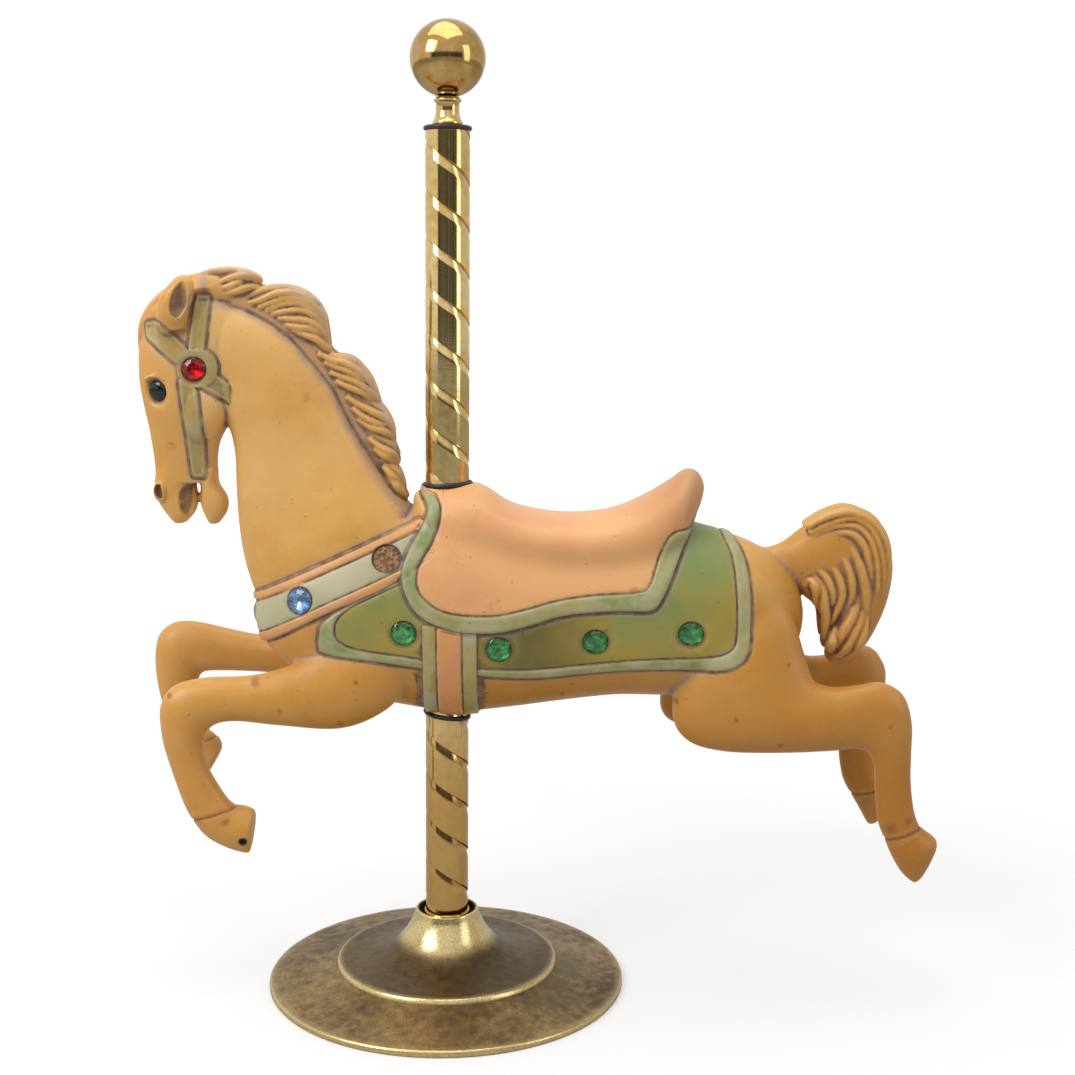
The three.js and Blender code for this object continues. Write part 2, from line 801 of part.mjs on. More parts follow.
// Stand: flat underside, rim, sloping disc, tier and neck with a blind hole for the pole.
function standGeometry() {
  const bore = (POLE_DIAMETER / 2 + FIT_CLEARANCE) / Math.cos(Math.PI / STAND_SIDES);
  const stepFoot = STAND_TIER_HEIGHT - STAND_TIER_STEP;
  const neckRise = STAND_LIP_HEIGHT - STAND_TIER_HEIGHT;
  const neckRun = STAND_TIER_RADIUS - STAND_LIP_RADIUS;
  const neck = STAND_NECK_PLACES.map((share) => {
    const climb = STAND_NECK_SLOPE * share + STAND_NECK_FLARE * share ** STAND_NECK_FLARE_POWER;
    return [STAND_TIER_RADIUS - neckRun * share, STAND_TIER_HEIGHT + neckRise * climb];
  });
  const bandRise = (stepFoot - STAND_RIM_HEIGHT) * STAND_RIM_BAND_RISE_SHARE;
  const recess = STAND_LIP_RADIUS - STAND_LIP_WIDTH;
  return turned([
    [STAND_RADIUS, 0],
    [STAND_RADIUS, STAND_RIM_HEIGHT - STAND_RIM_BEVEL],
    [STAND_RADIUS - STAND_RIM_BEVEL, STAND_RIM_HEIGHT],
    [STAND_RADIUS - STAND_RIM_BAND, STAND_RIM_HEIGHT + bandRise],
    [STAND_TIER_RADIUS + STAND_TIER_FOOT, stepFoot],
    [STAND_TIER_RADIUS, STAND_TIER_HEIGHT - STAND_TIER_BEVEL_HEIGHT],
    [STAND_TIER_RADIUS - STAND_TIER_BEVEL_WIDTH, STAND_TIER_HEIGHT],
    ...neck,
    [STAND_LIP_RADIUS, STAND_LIP_HEIGHT - STAND_LIP_BEVEL],
    [STAND_LIP_RADIUS - STAND_LIP_BEVEL, STAND_LIP_HEIGHT],
    [recess, STAND_LIP_HEIGHT],
    [recess, STAND_LIP_HEIGHT - STAND_RECESS_DEPTH],
    [bore, STAND_LIP_HEIGHT - STAND_RECESS_DEPTH],
    [bore, POLE_FOOT_HEIGHT - FIT_CLEARANCE],
  ], STAND_SIDES);
}

// Ball of the finial, cut flat where it meets its neck.
function ballGeometry() {
  const lowAngle = -Math.asin(BALL_SEAT_DROP / BALL_RADIUS);
  const topAngle = Math.PI / 2;
  const profile = [];
  for (let band = 0; band < BALL_BANDS; band += 1) {
    const angle = lowAngle + ((topAngle - lowAngle) * band) / BALL_BANDS;
    profile.push([BALL_RADIUS * Math.cos(angle), BALL_HEIGHT + BALL_RADIUS * Math.sin(angle)]);
  }
  const rings = profile.map(([radius, height]) => turnedRing(radius, height, BALL_SIDES));
  const geometry = skin(rings);
  const crown = geometry.attributes.position.count - 1;
  geometry.attributes.position.setZ(crown, BALL_HEIGHT + BALL_RADIUS);
  return geometry;
}

// Turned neck of the finial.
function finialNeckGeometry() {
  const foot = FINIAL_FOOT_HEIGHT;
  const ring = foot + FINIAL_RING_RISE;
  return turned([
    [FINIAL_FOOT_RADIUS, foot],
    [FINIAL_FOOT_RADIUS, foot + FINIAL_FOOT_BAND],
    [FINIAL_WAIST_RADIUS, foot + FINIAL_WAIST_RISE],
    [FINIAL_WAIST_RADIUS, ring - FINIAL_RING_DROP],
    [FINIAL_RING_RADIUS, ring],
    [FINIAL_WAIST_RADIUS, FINIAL_NECK_TOP],
  ], RING_SIDES);
}

// Gasket under the finial, a plain disc on top of the pole.
function finialGasketGeometry() {
  const top = FINIAL_GASKET_BOTTOM + FINIAL_GASKET_HEIGHT;
  return turned([
    [FINIAL_GASKET_RADIUS - FINIAL_GASKET_BEVEL, FINIAL_GASKET_BOTTOM],
    [FINIAL_GASKET_RADIUS, FINIAL_GASKET_BOTTOM + FINIAL_GASKET_BEVEL],
    [FINIAL_GASKET_RADIUS, top - FINIAL_GASKET_BEVEL],
    [FINIAL_GASKET_RADIUS - FINIAL_GASKET_BEVEL, top],
  ], RING_SIDES);
}

// Room for a gasket in the horse, open away from it.
function gasketRoom(radius, level, tiltDegrees, isAbove) {
  const slope = Math.tan(THREE.MathUtils.degToRad(tiltDegrees));
  const reach = isAbove ? GASKET_ROOM_REACH : -GASKET_ROOM_REACH;
  const near = isAbove
    ? level - GASKET_HEIGHT / 2 - FIT_CLEARANCE
    : level + GASKET_HEIGHT / 2 + FIT_CLEARANCE;
  const room = radius + FIT_CLEARANCE;
  return toSolid(turned([[room, near], [room, near + reach]], RING_SIDES, false, slope));
}

// Whole carved horse in one piece, with its bore and its holes.
function horseSolid(seats) {
  const grownBlanket = bodySolid(BLANKET_RISE);
  const grownFlap = bodySolid(FLAP_RISE);
  const grownCollar = bodySolid(COLLAR_RISE);
  const grownGirth = bodySolid(GIRTH_RISE);
  const grownBridle = headSolid(BRIDLE_RISE);
  const girth = [
    [GIRTH_FRONT, GIRTH_TOP],
    [GIRTH_FRONT, GIRTH_BOTTOM],
    [GIRTH_BACK, GIRTH_BOTTOM],
    [GIRTH_BACK, GIRTH_TOP],
  ];
  const straps = BRIDLE_STRAPS.map((strap) => layer(grownBridle, strapOutline(strap)));
  const rosetteOutline = roundOutline(ROSETTE_AT, ROSETTE_RADIUS, ROSETTE_POINTS);
  const rosette = layer(headSolid(ROSETTE_RISE), rosetteOutline);
  const carved = joinAll([
    bodySolid(0),
    headSolid(0),
    limb(UPPER_LIP, HEAD_SIDES),
    limb(LOWER_LIP, HEAD_SIDES),
    limb(EAR, SMALL_SIDES).subtract(limb(EAR_HOLLOW, SMALL_SIDES)),
    limb(mirrored(EAR), SMALL_SIDES).subtract(limb(mirrored(EAR_HOLLOW), SMALL_SIDES)),
    limb(FORELOCK, SMALL_SIDES),
    maneSolid(),
    tailSolid(),
    limb(SEAT, NECK_SIDES),
    layer(grownBlanket, BLANKET),
    layer(grownFlap, FLAP),
    layer(grownCollar, COLLAR),
    layer(grownGirth, girth),
    ...straps,
    rosette,
  ]);
  const bore = (POLE_DIAMETER / 2 + FIT_CLEARANCE) / Math.cos(Math.PI / RING_SIDES);
  const cuts = [
    toSolid(turned([[bore, BELLY_LEVEL - SLAB_REACH], [bore, BELLY_LEVEL + SLAB_REACH]], RING_SIDES)),
    gasketRoom(SADDLE_GASKET_RADIUS, SADDLE_GASKET_LEVEL, SADDLE_GASKET_TILT, true),
    gasketRoom(BELLY_GASKET_RADIUS, BELLY_GASKET_LEVEL, BELLY_GASKET_TILT, false),
    slab(MOUTH_HOLLOW, TONGUE_HALF_WIDTH * SHARE, SLAB_REACH),
    slab(MOUTH_HOLLOW, -SLAB_REACH, -TONGUE_HALF_WIDTH * SHARE),
    limb(NOSTRIL, LOCK_SIDES),
    limb(mirrored(NOSTRIL), LOCK_SIDES),
    ...seats.map(({ seat, diameter, sink }) => toSolid(atSeat(stoneHole(diameter, sink), seat))),
  ];
  return cuts.reduce((rest, cut) => rest.subtract(cut), carved);
}

// Named mesh with its own finish.
function piece(name, geometry, color, roughness, metalness) {
  const material = new THREE.MeshStandardMaterial({ color, roughness, metalness });
  material.flatShading = true;
  const flat = geometry.toNonIndexed();
  flat.computeVertexNormals();
  const mesh = new THREE.Mesh(flat, material);
  mesh.name = name;
  return mesh;
}

// Every stone that is still in its seat, with its name and its size.
function stoneList() {
  const body = new THREE.Mesh(toGeometry(bodySolid(BLANKET_RISE)));
  const collar = new THREE.Mesh(toGeometry(bodySolid(COLLAR_RISE)));
  const rosette = new THREE.Mesh(toGeometry(headSolid(ROSETTE_RISE)));
  const head = new THREE.Mesh(toGeometry(headSolid(0)));
  const list = [];
  [['left', -1], ['right', 1]].forEach(([word, side]) => {
    GREEN_JEWELS_AT.forEach(([x, z], index) => {
      const seat = stoneSeat(body, x, z, side);
      const name = `green_jewel_${word}_${index + 1}`;
      list.push({ name, seat, diameter: GREEN_JEWEL_DIAMETER, dome: JEWEL_DOME, color: GREEN_COLOUR });
    });
    const blue = stoneSeat(collar, BLUE_JEWEL_AT[0], BLUE_JEWEL_AT[1], side);
    list.push({
      name: `blue_jewel_${word}`,
      seat: blue,
      diameter: BLUE_JEWEL_DIAMETER,
      dome: JEWEL_DOME,
      color: BLUE_COLOUR,
    });
    const red = stoneSeat(rosette, ROSETTE_AT[0], ROSETTE_AT[1], side);
    list.push({
      name: `red_jewel_${word}`,
      seat: red,
      diameter: RED_JEWEL_DIAMETER,
      dome: JEWEL_DOME,
      color: RED_COLOUR,
    });
    const eye = stoneSeat(head, EYE_AT[0], EYE_AT[1], side);
    list.push({ name: `eye_${word}`, seat: eye, diameter: EYE_DIAMETER, dome: EYE_DOME, color: EYE_COLOUR });
  });
  const upper = stoneSeat(collar, EMPTY_SOCKET_AT[0], EMPTY_SOCKET_AT[1], 1);
  list.push({
    name: 'blue_jewel_right_upper',
    seat: upper,
    diameter: BLUE_JEWEL_DIAMETER,
    dome: JEWEL_DOME,
    color: BLUE_COLOUR,
  });
  const front = place(0, FRONT_JEWEL_LEVEL);
  const origin = new THREE.Vector3(-2 * SLAB_REACH, 0, front.z);
  const point = hitPoint(collar, origin, new THREE.Vector3(1, 0, 0));
  const out = new THREE.Vector3(-1, 0, 0);
  list.push({
    name: 'blue_jewel_front',
    seat: { point, out },
    diameter: FRONT_JEWEL_DIAMETER,
    dome: JEWEL_DOME,
    color: BLUE_COLOUR,
  });
  return { list, collar };
}

function build() {
  const group = new THREE.Group();
  group.name = 'carousel_horse';
  const { list, collar } = stoneList();
  const seats = list.map(({ seat, diameter }) => ({ seat, diameter, sink: JEWEL_SINK }));
  seats.push({
    seat: stoneSeat(collar, EMPTY_SOCKET_AT[0], EMPTY_SOCKET_AT[1], -1),
    diameter: EMPTY_SOCKET_DIAMETER,
    sink: EMPTY_SOCKET_DEPTH,
  });
  const leg = new THREE.Mesh(toGeometry(limb(NEAR_FORE_LEG, LEG_SIDES)));
  seats.push({
    seat: stoneSeat(leg, HOOF_HOLE_AT[0], HOOF_HOLE_AT[1], -1),
    diameter: HOOF_HOLE_DIAMETER,
    sink: HOOF_HOLE_DEPTH,
  });
  group.add(piece('horse', toGeometry(horseSolid(seats)), HORSE_COLOUR, PAINT_ROUGHNESS, 0));
  group.add(piece('pole', poleGeometry(), BRASS_COLOUR, POLISHED_ROUGHNESS, 1));
  group.add(piece('stand', standGeometry(), STAND_COLOUR, STAND_ROUGHNESS, 1));
  group.add(piece('finial_ball', ballGeometry(), BALL_COLOUR, BALL_ROUGHNESS, 1));
  group.add(piece('finial_neck', finialNeckGeometry(), BRASS_COLOUR, POLISHED_ROUGHNESS, 1));
  const finialGasket = finialGasketGeometry();
  group.add(piece('finial_gasket', finialGasket, FINIAL_GASKET_COLOUR, RUBBER_ROUGHNESS, 0));
  const footRing = poleRing(
    POLE_DIAMETER / 2 + FIT_CLEARANCE + FOOT_RING_WALL,
    STAND_LIP_HEIGHT - STAND_RECESS_DEPTH + FIT_CLEARANCE,
    FOOT_RING_HEIGHT,
  );
  group.add(piece('pole_foot_ring', footRing, BRASS_COLOUR, POLISHED_ROUGHNESS, 1));
  const saddleGasket = poleRing(
    SADDLE_GASKET_RADIUS,
    SADDLE_GASKET_LEVEL - GASKET_HEIGHT / 2,
    GASKET_HEIGHT,
    SADDLE_GASKET_TILT,
  );
  group.add(piece('saddle_gasket', saddleGasket, GASKET_COLOUR, RUBBER_ROUGHNESS, 0));
  const bellyGasket = poleRing(
    BELLY_GASKET_RADIUS,
    BELLY_GASKET_LEVEL - GASKET_HEIGHT / 2,
    GASKET_HEIGHT,
    BELLY_GASKET_TILT,
  );
  group.add(piece('belly_gasket', bellyGasket, GASKET_COLOUR, RUBBER_ROUGHNESS, 0));
  list.forEach(({ name, seat, diameter, dome, color }) => {
    group.add(piece(name, atSeat(stone(diameter, dome), seat), color, STONE_ROUGHNESS, 0));
  });
  return group;
}

export default build();
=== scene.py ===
"""Carousel horse on a twisted brass pole: the detailed model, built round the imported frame.

Lengths inside the classes are millimetres, in the frame's own axes. The horse faces -X and its left
side faces -Y. Blender's objects are metres.
"""

import functools
import logging
import math
from dataclasses import dataclass, field
from enum import Enum

import bpy
import numpy as np
from mathutils import Matrix, Vector


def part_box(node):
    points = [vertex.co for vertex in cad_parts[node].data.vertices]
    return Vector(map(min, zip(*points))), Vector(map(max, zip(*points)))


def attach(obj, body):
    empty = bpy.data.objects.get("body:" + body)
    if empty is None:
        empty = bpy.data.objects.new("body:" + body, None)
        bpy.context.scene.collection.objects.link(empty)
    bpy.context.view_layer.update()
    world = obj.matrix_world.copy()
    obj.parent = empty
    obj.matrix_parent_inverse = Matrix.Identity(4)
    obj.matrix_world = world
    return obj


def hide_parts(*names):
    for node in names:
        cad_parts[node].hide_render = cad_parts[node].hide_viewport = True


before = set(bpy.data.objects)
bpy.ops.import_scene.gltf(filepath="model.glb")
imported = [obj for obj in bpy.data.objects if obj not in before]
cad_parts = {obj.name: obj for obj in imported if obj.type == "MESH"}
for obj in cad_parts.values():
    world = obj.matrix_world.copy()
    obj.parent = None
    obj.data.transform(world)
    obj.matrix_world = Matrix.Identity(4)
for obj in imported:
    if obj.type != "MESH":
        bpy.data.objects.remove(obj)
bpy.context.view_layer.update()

MM = 0.001
# Largest distance from an outline that is kept, in millimetres.
REACH = 14.0
BODY = "root"
LOG = logging.getLogger("carousel_horse")

# The horse's length and its belly level. The tables give its form in thousandths of that length,
# from the pole's axis and the belly level.
HORSE_LENGTH = 565.0
BELLY_LEVEL = 205.3
SHARE = HORSE_LENGTH / 1000

# Each row is a cross-section: front or top edge x z, back or bottom edge x z, middle y, half width.
TORSO = [
    (-246, 142, -244, 124, 0, 10), (-240, 165, -236, 100, 0, 34), (-222, 192, -216, 78, 0, 55),
    (-180, 228, -180, 48, 0, 72), (-120, 258, -120, 27, 0, 80), (-50, 275, -50, 14, 0, 82),
    (10, 280, 10, 6, 0, 83), (80, 262, 80, 13, 0, 83), (150, 251, 150, 23, 0, 82),
    (220, 253, 220, 31, 0, 82), (290, 259, 285, 31, 0, 84), (345, 249, 335, 34, 0, 83),
    (392, 233, 392, 50, 0, 74), (430, 208, 428, 74, 0, 58), (452, 178, 450, 96, 0, 38),
    (460, 150, 459, 118, 0, 14),
]
NECK = [
    (-218, 100, -20, 250, 0, 62), (-242, 148, -66, 300, 0, 60), (-256, 186, -98, 345, 0, 52),
    (-264, 220, -122, 386, 0, 46), (-268, 256, -141, 424, 0, 42), (-270, 300, -165, 458, 0, 39),
    (-271, 342, -192, 487, 0, 37), (-279, 376, -224, 511, 0, 35), (-300, 404, -262, 528, 0, 33),
    (-322, 424, -300, 532, 0, 28),
]
HEAD = [
    (-300, 547, -268, 534, 0, 14), (-338, 539, -254, 505, 0, 28), (-374, 514, -250, 470, 0, 34),
    (-389, 478, -256, 436, 0, 38), (-391, 438, -264, 402, 0, 39), (-386, 402, -277, 380, 0, 35),
    (-380, 372, -290, 356, 0, 30), (-375, 336, -294, 332, 0, 27), (-373, 306, -294, 303, 0, 25),
]
UPPER_LIP = [
    (-372, 322, -326, 322, 0, 24), (-375, 298, -322, 300, 0, 25), (-371, 279, -320, 281, 0, 23),
    (-360, 261, -324, 265, 0, 19), (-350, 249, -336, 251, 0, 10),
]
LOWER_LIP = [
    (-318, 322, -294, 322, 0, 22), (-316, 300, -293, 303, 0, 21), (-317, 281, -282, 284, 0, 21),
    (-313, 264, -283, 266, 0, 18), (-306, 249, -294, 250, 0, 9),
]
CHEEK = [
    (-338, 432, -300, 450, 0, 34), (-344, 405, -275, 425, 0, 42), (-342, 385, -273, 394, 0, 43),
    (-334, 366, -287, 368, 0, 36), (-320, 356, -300, 356, 0, 24),
]
EAR = [
    (-355, 492, -324, 500, -32, 12), (-360, 512, -318, 520, -38, 14), (-354, 536, -311, 544, -41, 12),
    (-341, 554, -312, 558, -41, 8), (-330, 564, -321, 566, -40, 3),
]
EAR_HOLLOW = [
    (-337, 509, -322, 514, -56, 8), (-341, 524, -313, 530, -56, 13), (-337, 544, -314, 548, -56, 10),
    (-328, 556, -319, 558, -52, 4),
]
FORELOCK = [
    (-262, 572, -256, 520, 0, 20), (-304, 574, -292, 520, 0, 27), (-338, 558, -318, 510, 0, 26),
    (-366, 540, -340, 498, 0, 25), (-386, 519, -360, 484, 0, 21), (-393, 492, -376, 472, 0, 12),
]
NEAR_FORE_LEG = [
    (-112, 130, -40, 62, -48, 26), (-160, 98, -70, 22, -56, 31), (-200, 77, -128, -3, -63, 29),
    (-248, 66, -205, 1, -68, 25), (-302, 64, -262, 7, -71, 22), (-342, 53, -290, 2, -71, 23),
    (-359, 28, -302, -12, -71, 24), (-359, -6, -304, -32, -71, 21), (-354, -34, -299, -55, -71, 19),
    (-334, -98, -273, -98, -71, 19), (-319, -127, -260, -103, -71, 21),
    (-302, -147, -251, -104, -71, 21), (-274, -161, -245, -107, -71, 23),
    (-248, -168, -240, -109, -71, 22),
]
FAR_FORE_LEG = [
    (-112, 150, -50, 82, 46, 26), (-170, 120, -100, 45, 54, 30), (-215, 95, -180, 32, 62, 27),
    (-262, 91, -248, 38, 68, 23), (-352, 108, -326, 38, 71, 22), (-388, 95, -338, 30, 71, 24),
    (-398, 64, -343, 16, 71, 22), (-397, 28, -345, -2, 71, 19), (-390, -8, -339, -24, 71, 18),
    (-378, -42, -330, -42, 71, 19), (-366, -70, -315, -52, 71, 21), (-350, -92, -311, -60, 71, 22),
    (-330, -106, -309, -68, 71, 21),
]
NEAR_HIND_LEG = [
    (400, 200, 300, 80, -38, 34), (438, 152, 290, 16, -48, 38), (456, 98, 309, -17, -56, 36),
    (468, 66, 356, -29, -62, 33), (492, 58, 430, -29, -67, 28), (522, 62, 492, -25, -71, 24),
    (553, 66, 527, -22, -71, 22), (581, 50, 540, -30, -71, 22), (593, 14, 545, -40, -71, 20),
    (594, -22, 547, -56, -71, 18), (595, -62, 549, -84, -71, 17), (600, -98, 554, -118, -71, 19),
    (609, -122, 563, -139, -71, 20), (632, -141, 572, -160, -71, 23), (626, -166, 587, -185, -71, 19),
    (613, -193, 604, -200, -71, 8),
]
FAR_HIND_LEG = [
    (400, 200, 300, 80, 38, 34), (438, 155, 281, 13, 48, 38), (456, 104, 298, -22, 56, 36),
    (470, 74, 350, -26, 62, 33), (492, 68, 430, -26, 67, 28), (526, 73, 480, -20, 71, 24),
    (562, 81, 514, -12, 71, 22), (587, 55, 524, -24, 71, 22), (588, 16, 529, -36, 71, 20),
    (582, -30, 527, -52, 71, 18), (580, -66, 529, -76, 71, 17), (588, -94, 535, -104, 71, 19),
    (602, -110, 546, -124, 71, 21), (602, -134, 558, -144, 71, 18), (586, -166, 572, -170, 71, 8),
]
TAIL = [
    (404, 228, 436, 172, 0, 22), (428, 236, 452, 170, 0, 26), (456, 256, 460, 160, 0, 30),
    (492, 279, 472, 150, 0, 33), (528, 283, 482, 138, 0, 34), (559, 263, 488, 122, 0, 33),
    (577, 214, 490, 108, 0, 31), (574, 164, 489, 94, 0, 28), (557, 116, 488, 84, 0, 24),
    (538, 88, 493, 76, 0, 18), (518, 74, 504, 71, 0, 6),
]
SEAT = [
    (-43, 290, -40, 250, 0, 26), (-32, 299, -28, 232, 0, 48), (0, 301, 0, 226, 0, 62),
    (40, 300, 38, 222, 0, 68), (76, 278, 78, 215, 0, 73), (110, 268, 112, 210, 0, 76),
    (158, 263, 158, 205, 0, 78), (210, 269, 216, 205, 0, 78), (252, 286, 264, 208, 0, 76),
    (288, 308, 294, 216, 0, 68), (308, 323, 304, 234, 0, 52), (320, 318, 310, 252, 0, 34),
    (326, 303, 316, 270, 0, 14),
]
MANE_ROOT = [
    (-300, 534), (-258, 526), (-226, 510), (-194, 486), (-169, 456), (-143, 424), (-126, 386),
    (-105, 347), (-79, 307), (-50, 266),
]
MANE_EDGE = [
    (-306, 571), (-272, 575), (-238, 564), (-200, 553), (-162, 531), (-148, 490), (-115, 462),
    (-88, 415), (-69, 370), (-44, 284),
]

# Centre lines of the carved locks in side view, each from its root to its tip.
MANE_LOCKS = [
    [(-301, 569), (-266, 571), (-243, 565), (-235, 556)],
    [(-288, 555), (-262, 564), (-247, 563), (-237, 556)],
    [(-288, 547), (-270, 552), (-253, 558), (-237, 553)],
    [(-283, 541), (-263, 546), (-246, 551), (-232, 549)],
    [(-279, 535), (-257, 537), (-241, 543), (-225, 548), (-204, 550), (-186, 548), (-170, 538),
     (-157, 522), (-151, 508)],
    [(-247, 531), (-231, 536), (-213, 543), (-193, 544), (-175, 537), (-161, 522), (-152, 502)],
    [(-236, 526), (-220, 532), (-200, 538), (-182, 536), (-167, 528), (-155, 514), (-151, 496)],
    [(-226, 522), (-207, 530), (-187, 532), (-169, 524), (-157, 510), (-151, 490)],
    [(-219, 518), (-200, 522), (-180, 523), (-165, 515), (-154, 501), (-150, 483)],
    [(-211, 513), (-194, 512), (-174, 510), (-161, 502), (-153, 490), (-149, 478)],
    [(-202, 505), (-187, 502), (-170, 500), (-157, 490), (-148, 475)],
    [(-194, 499), (-178, 493), (-163, 487), (-150, 475), (-144, 468)],
    [(-168, 478), (-156, 470), (-143, 465), (-125, 462), (-112, 454), (-101, 444), (-93, 430),
     (-89, 416)],
    [(-161, 469), (-144, 461), (-126, 457), (-111, 448), (-99, 435), (-91, 422), (-88, 409)],
    [(-154, 458), (-137, 452), (-119, 446), (-105, 436), (-95, 425), (-88, 408)],
    [(-147, 446), (-130, 440), (-113, 434), (-98, 423), (-89, 412), (-87, 403)],
    [(-140, 435), (-125, 429), (-108, 422), (-94, 413), (-87, 401)],
    [(-133, 425), (-119, 418), (-103, 411), (-90, 404), (-78, 394), (-71, 381), (-68, 367)],
    [(-126, 415), (-111, 406), (-92, 396), (-78, 388), (-70, 376), (-68, 363)],
    [(-119, 402), (-105, 391), (-88, 383), (-74, 378), (-68, 364)],
    [(-112, 388), (-97, 378), (-81, 373), (-71, 366), (-68, 357)],
    [(-104, 375), (-89, 366), (-75, 358), (-66, 349), (-62, 338)],
    [(-98, 363), (-85, 353), (-73, 346), (-65, 340), (-61, 330)],
    [(-92, 351), (-81, 343), (-71, 337), (-62, 328)],
    [(-87, 340), (-76, 331), (-66, 322), (-59, 309), (-54, 297)],
    [(-81, 328), (-72, 319), (-63, 308), (-54, 294)],
    [(-75, 315), (-66, 306), (-58, 295), (-50, 286)],
]
MANE_EDGE_LOCKS = (0, 4, 12, 17, 21, 24)
TAIL_LOCKS = [
    [(460, 254), (485, 268), (512, 275), (536, 267), (552, 251), (561, 229), (564, 201), (561, 178),
     (551, 156)],
    [(463, 247), (491, 261), (517, 268), (537, 259), (549, 240), (556, 216), (559, 190), (556, 172),
     (549, 156)],
    [(466, 242), (494, 256), (520, 258), (536, 247), (545, 227), (550, 204), (552, 181), (550, 165),
     (547, 153)],
    [(469, 237), (498, 248), (518, 247), (532, 234), (539, 213), (543, 189), (545, 170), (544, 156)],
    [(474, 233), (498, 238), (515, 229), (526, 211), (533, 191), (537, 170), (538, 151), (537, 127),
     (533, 104)],
    [(471, 227), (490, 227), (505, 217), (514, 200), (519, 180), (518, 163), (511, 145), (501, 129)],
    [(464, 218), (480, 215), (494, 204), (503, 187), (506, 169), (502, 151), (496, 134), (491, 124)],
    [(454, 209), (471, 205), (484, 193), (492, 177), (495, 162), (492, 148), (489, 136)],
    [(455, 197), (468, 195), (477, 185), (483, 171), (485, 155), (488, 139), (488, 122), (488, 108)],
    [(459, 177), (464, 186), (470, 183), (474, 173), (477, 159), (482, 146)],
    [(525, 175), (527, 160), (522, 142), (514, 126), (506, 111), (499, 98), (496, 90)],
    [(532, 172), (533, 151), (530, 133), (524, 117), (517, 102), (509, 91), (501, 85)],
    [(537, 160), (538, 138), (535, 119), (530, 104), (525, 95), (517, 89)],
    [(503, 126), (498, 112), (495, 99), (493, 92)],
]
FORELOCK_LOCKS = [
    [(-290, 567), (-320, 563), (-346, 549), (-368, 531), (-382, 510), (-388, 490), (-389, 470)],
    [(-292, 558), (-322, 555), (-345, 541), (-364, 522), (-376, 502), (-381, 484)],
    [(-294, 549), (-318, 546), (-338, 533), (-354, 516), (-364, 500)],
]

# Outlines of the trappings in side view.
COLLAR = [
    (-268, 154), (-245, 165), (-155, 207), (-55, 253), (-26, 270), (-10, 236), (-50, 191),
    (-155, 144), (-228, 104), (-262, 92), (-290, 120),
]
COLLAR_BAND = [
    (-290, 133), (-245, 152), (-155, 194), (-55, 240), (-30, 252), (-20, 226), (-55, 203),
    (-155, 157), (-232, 118), (-290, 92),
]
BLANKET = [
    (-154, 143), (-159, 106), (-155, 95), (-98, 89), (-47, 80), (42, 68), (112, 64), (192, 74),
    (256, 79), (382, 79), (385, 164), (380, 214), (367, 243), (346, 263), (330, 400), (0, 400),
    (0, 226), (-48, 194),
]
BLANKET_FIELD = [
    (-136, 148), (-137, 106), (-29, 92), (45, 79), (112, 78), (192, 88), (272, 95), (365, 98),
    (367, 148), (362, 223), (346, 253), (326, 380), (10, 380), (10, 222), (-50, 188),
]
SADDLE = [
    (-60, 330), (-34, 298), (-26, 288), (-20, 275), (-31, 252), (-51, 216), (-55, 190), (-38, 151),
    (-6, 132), (32, 125), (73, 126), (112, 137), (150, 150), (222, 156), (262, 154), (275, 174),
    (294, 220), (304, 246), (316, 270), (350, 305), (350, 400), (-60, 400),
]
SADDLE_FIELD = [
    (-64, 336), (-30, 301), (-20, 295), (-12, 293), (-6, 284), (-4, 270), (-12, 240), (-33, 208),
    (-34, 180), (-13, 158), (16, 149), (64, 148), (99, 156), (143, 169), (191, 176), (250, 179),
    (260, 194), (270, 234), (280, 251), (289, 256), (306, 258), (320, 280), (350, 316), (350, 400),
    (-64, 400),
]
GIRTH = [(-27, 136), (-27, -30), (42, -30), (42, 136)]
GIRTH_MIDDLE = [(-9, 134), (-9, -30), (23, -30), (23, 134)]
BRIDLE_PARTS = [
    [(-334, 440), (-327, 370), (-322, 312), (-305, 311), (-306, 391), (-310, 425)],
    [(-318, 472), (-357, 508), (-378, 506), (-376, 487), (-333, 452)],
    [(-322, 466), (-313, 540), (-294, 540), (-301, 466)],
    [(-298, 452), (-265, 425), (-268, 404), (-312, 430)],
]
PLATE_AT = (-309, 450)
PLATE_RADIUS = 24.5
MOUTH_HOLLOW = [
    (-341, 284), (-339, 294), (-332, 302), (-322, 303), (-312, 298), (-312, 276), (-320, 262),
    (-330, 256), (-339, 264),
]
NOSTRIL = [(-369, 303, -362, 303, -24, 4), (-371, 293, -360, 293, -24, 8), (-366, 284, -360, 284, -24, 4)]
EMPTY_SOCKET_AT = (-72, 218)
HOOF_HOLE_AT = (-254, -145)

# Line between leg and hoof in side view, and the side of the horse that it is on.
CORONETS = [
    ((609, -122), (563, -139), -1), ((602, -110), (546, -124), 1), ((-322, -122), (-258, -101), -1),
    ((-368, -68), (-313, -50), 1),
]

# Brown stains: place in side view and size in millimetres.
STAINS = [
    ((203, 131), 3.0), ((295, 35), 2.6), ((368, 20), 3.2), ((424, -13), 2.2), ((433, 89), 2.4),
    ((560, 13), 2.2), ((568, -121), 6.0), ((590, -112), 4.0), ((-236, 60), 4.0), ((-205, 26), 3.0),
    ((-130, 8), 3.5), ((-276, -120), 4.0), ((-72, 212), 4.5), ((150, 40), 2.0), ((-300, 545), 5.0),
    ((-344, 42), 2.6), ((500, 66), 3.0), ((-110, 62), 2.4), ((-362, 411), 3.2),
]


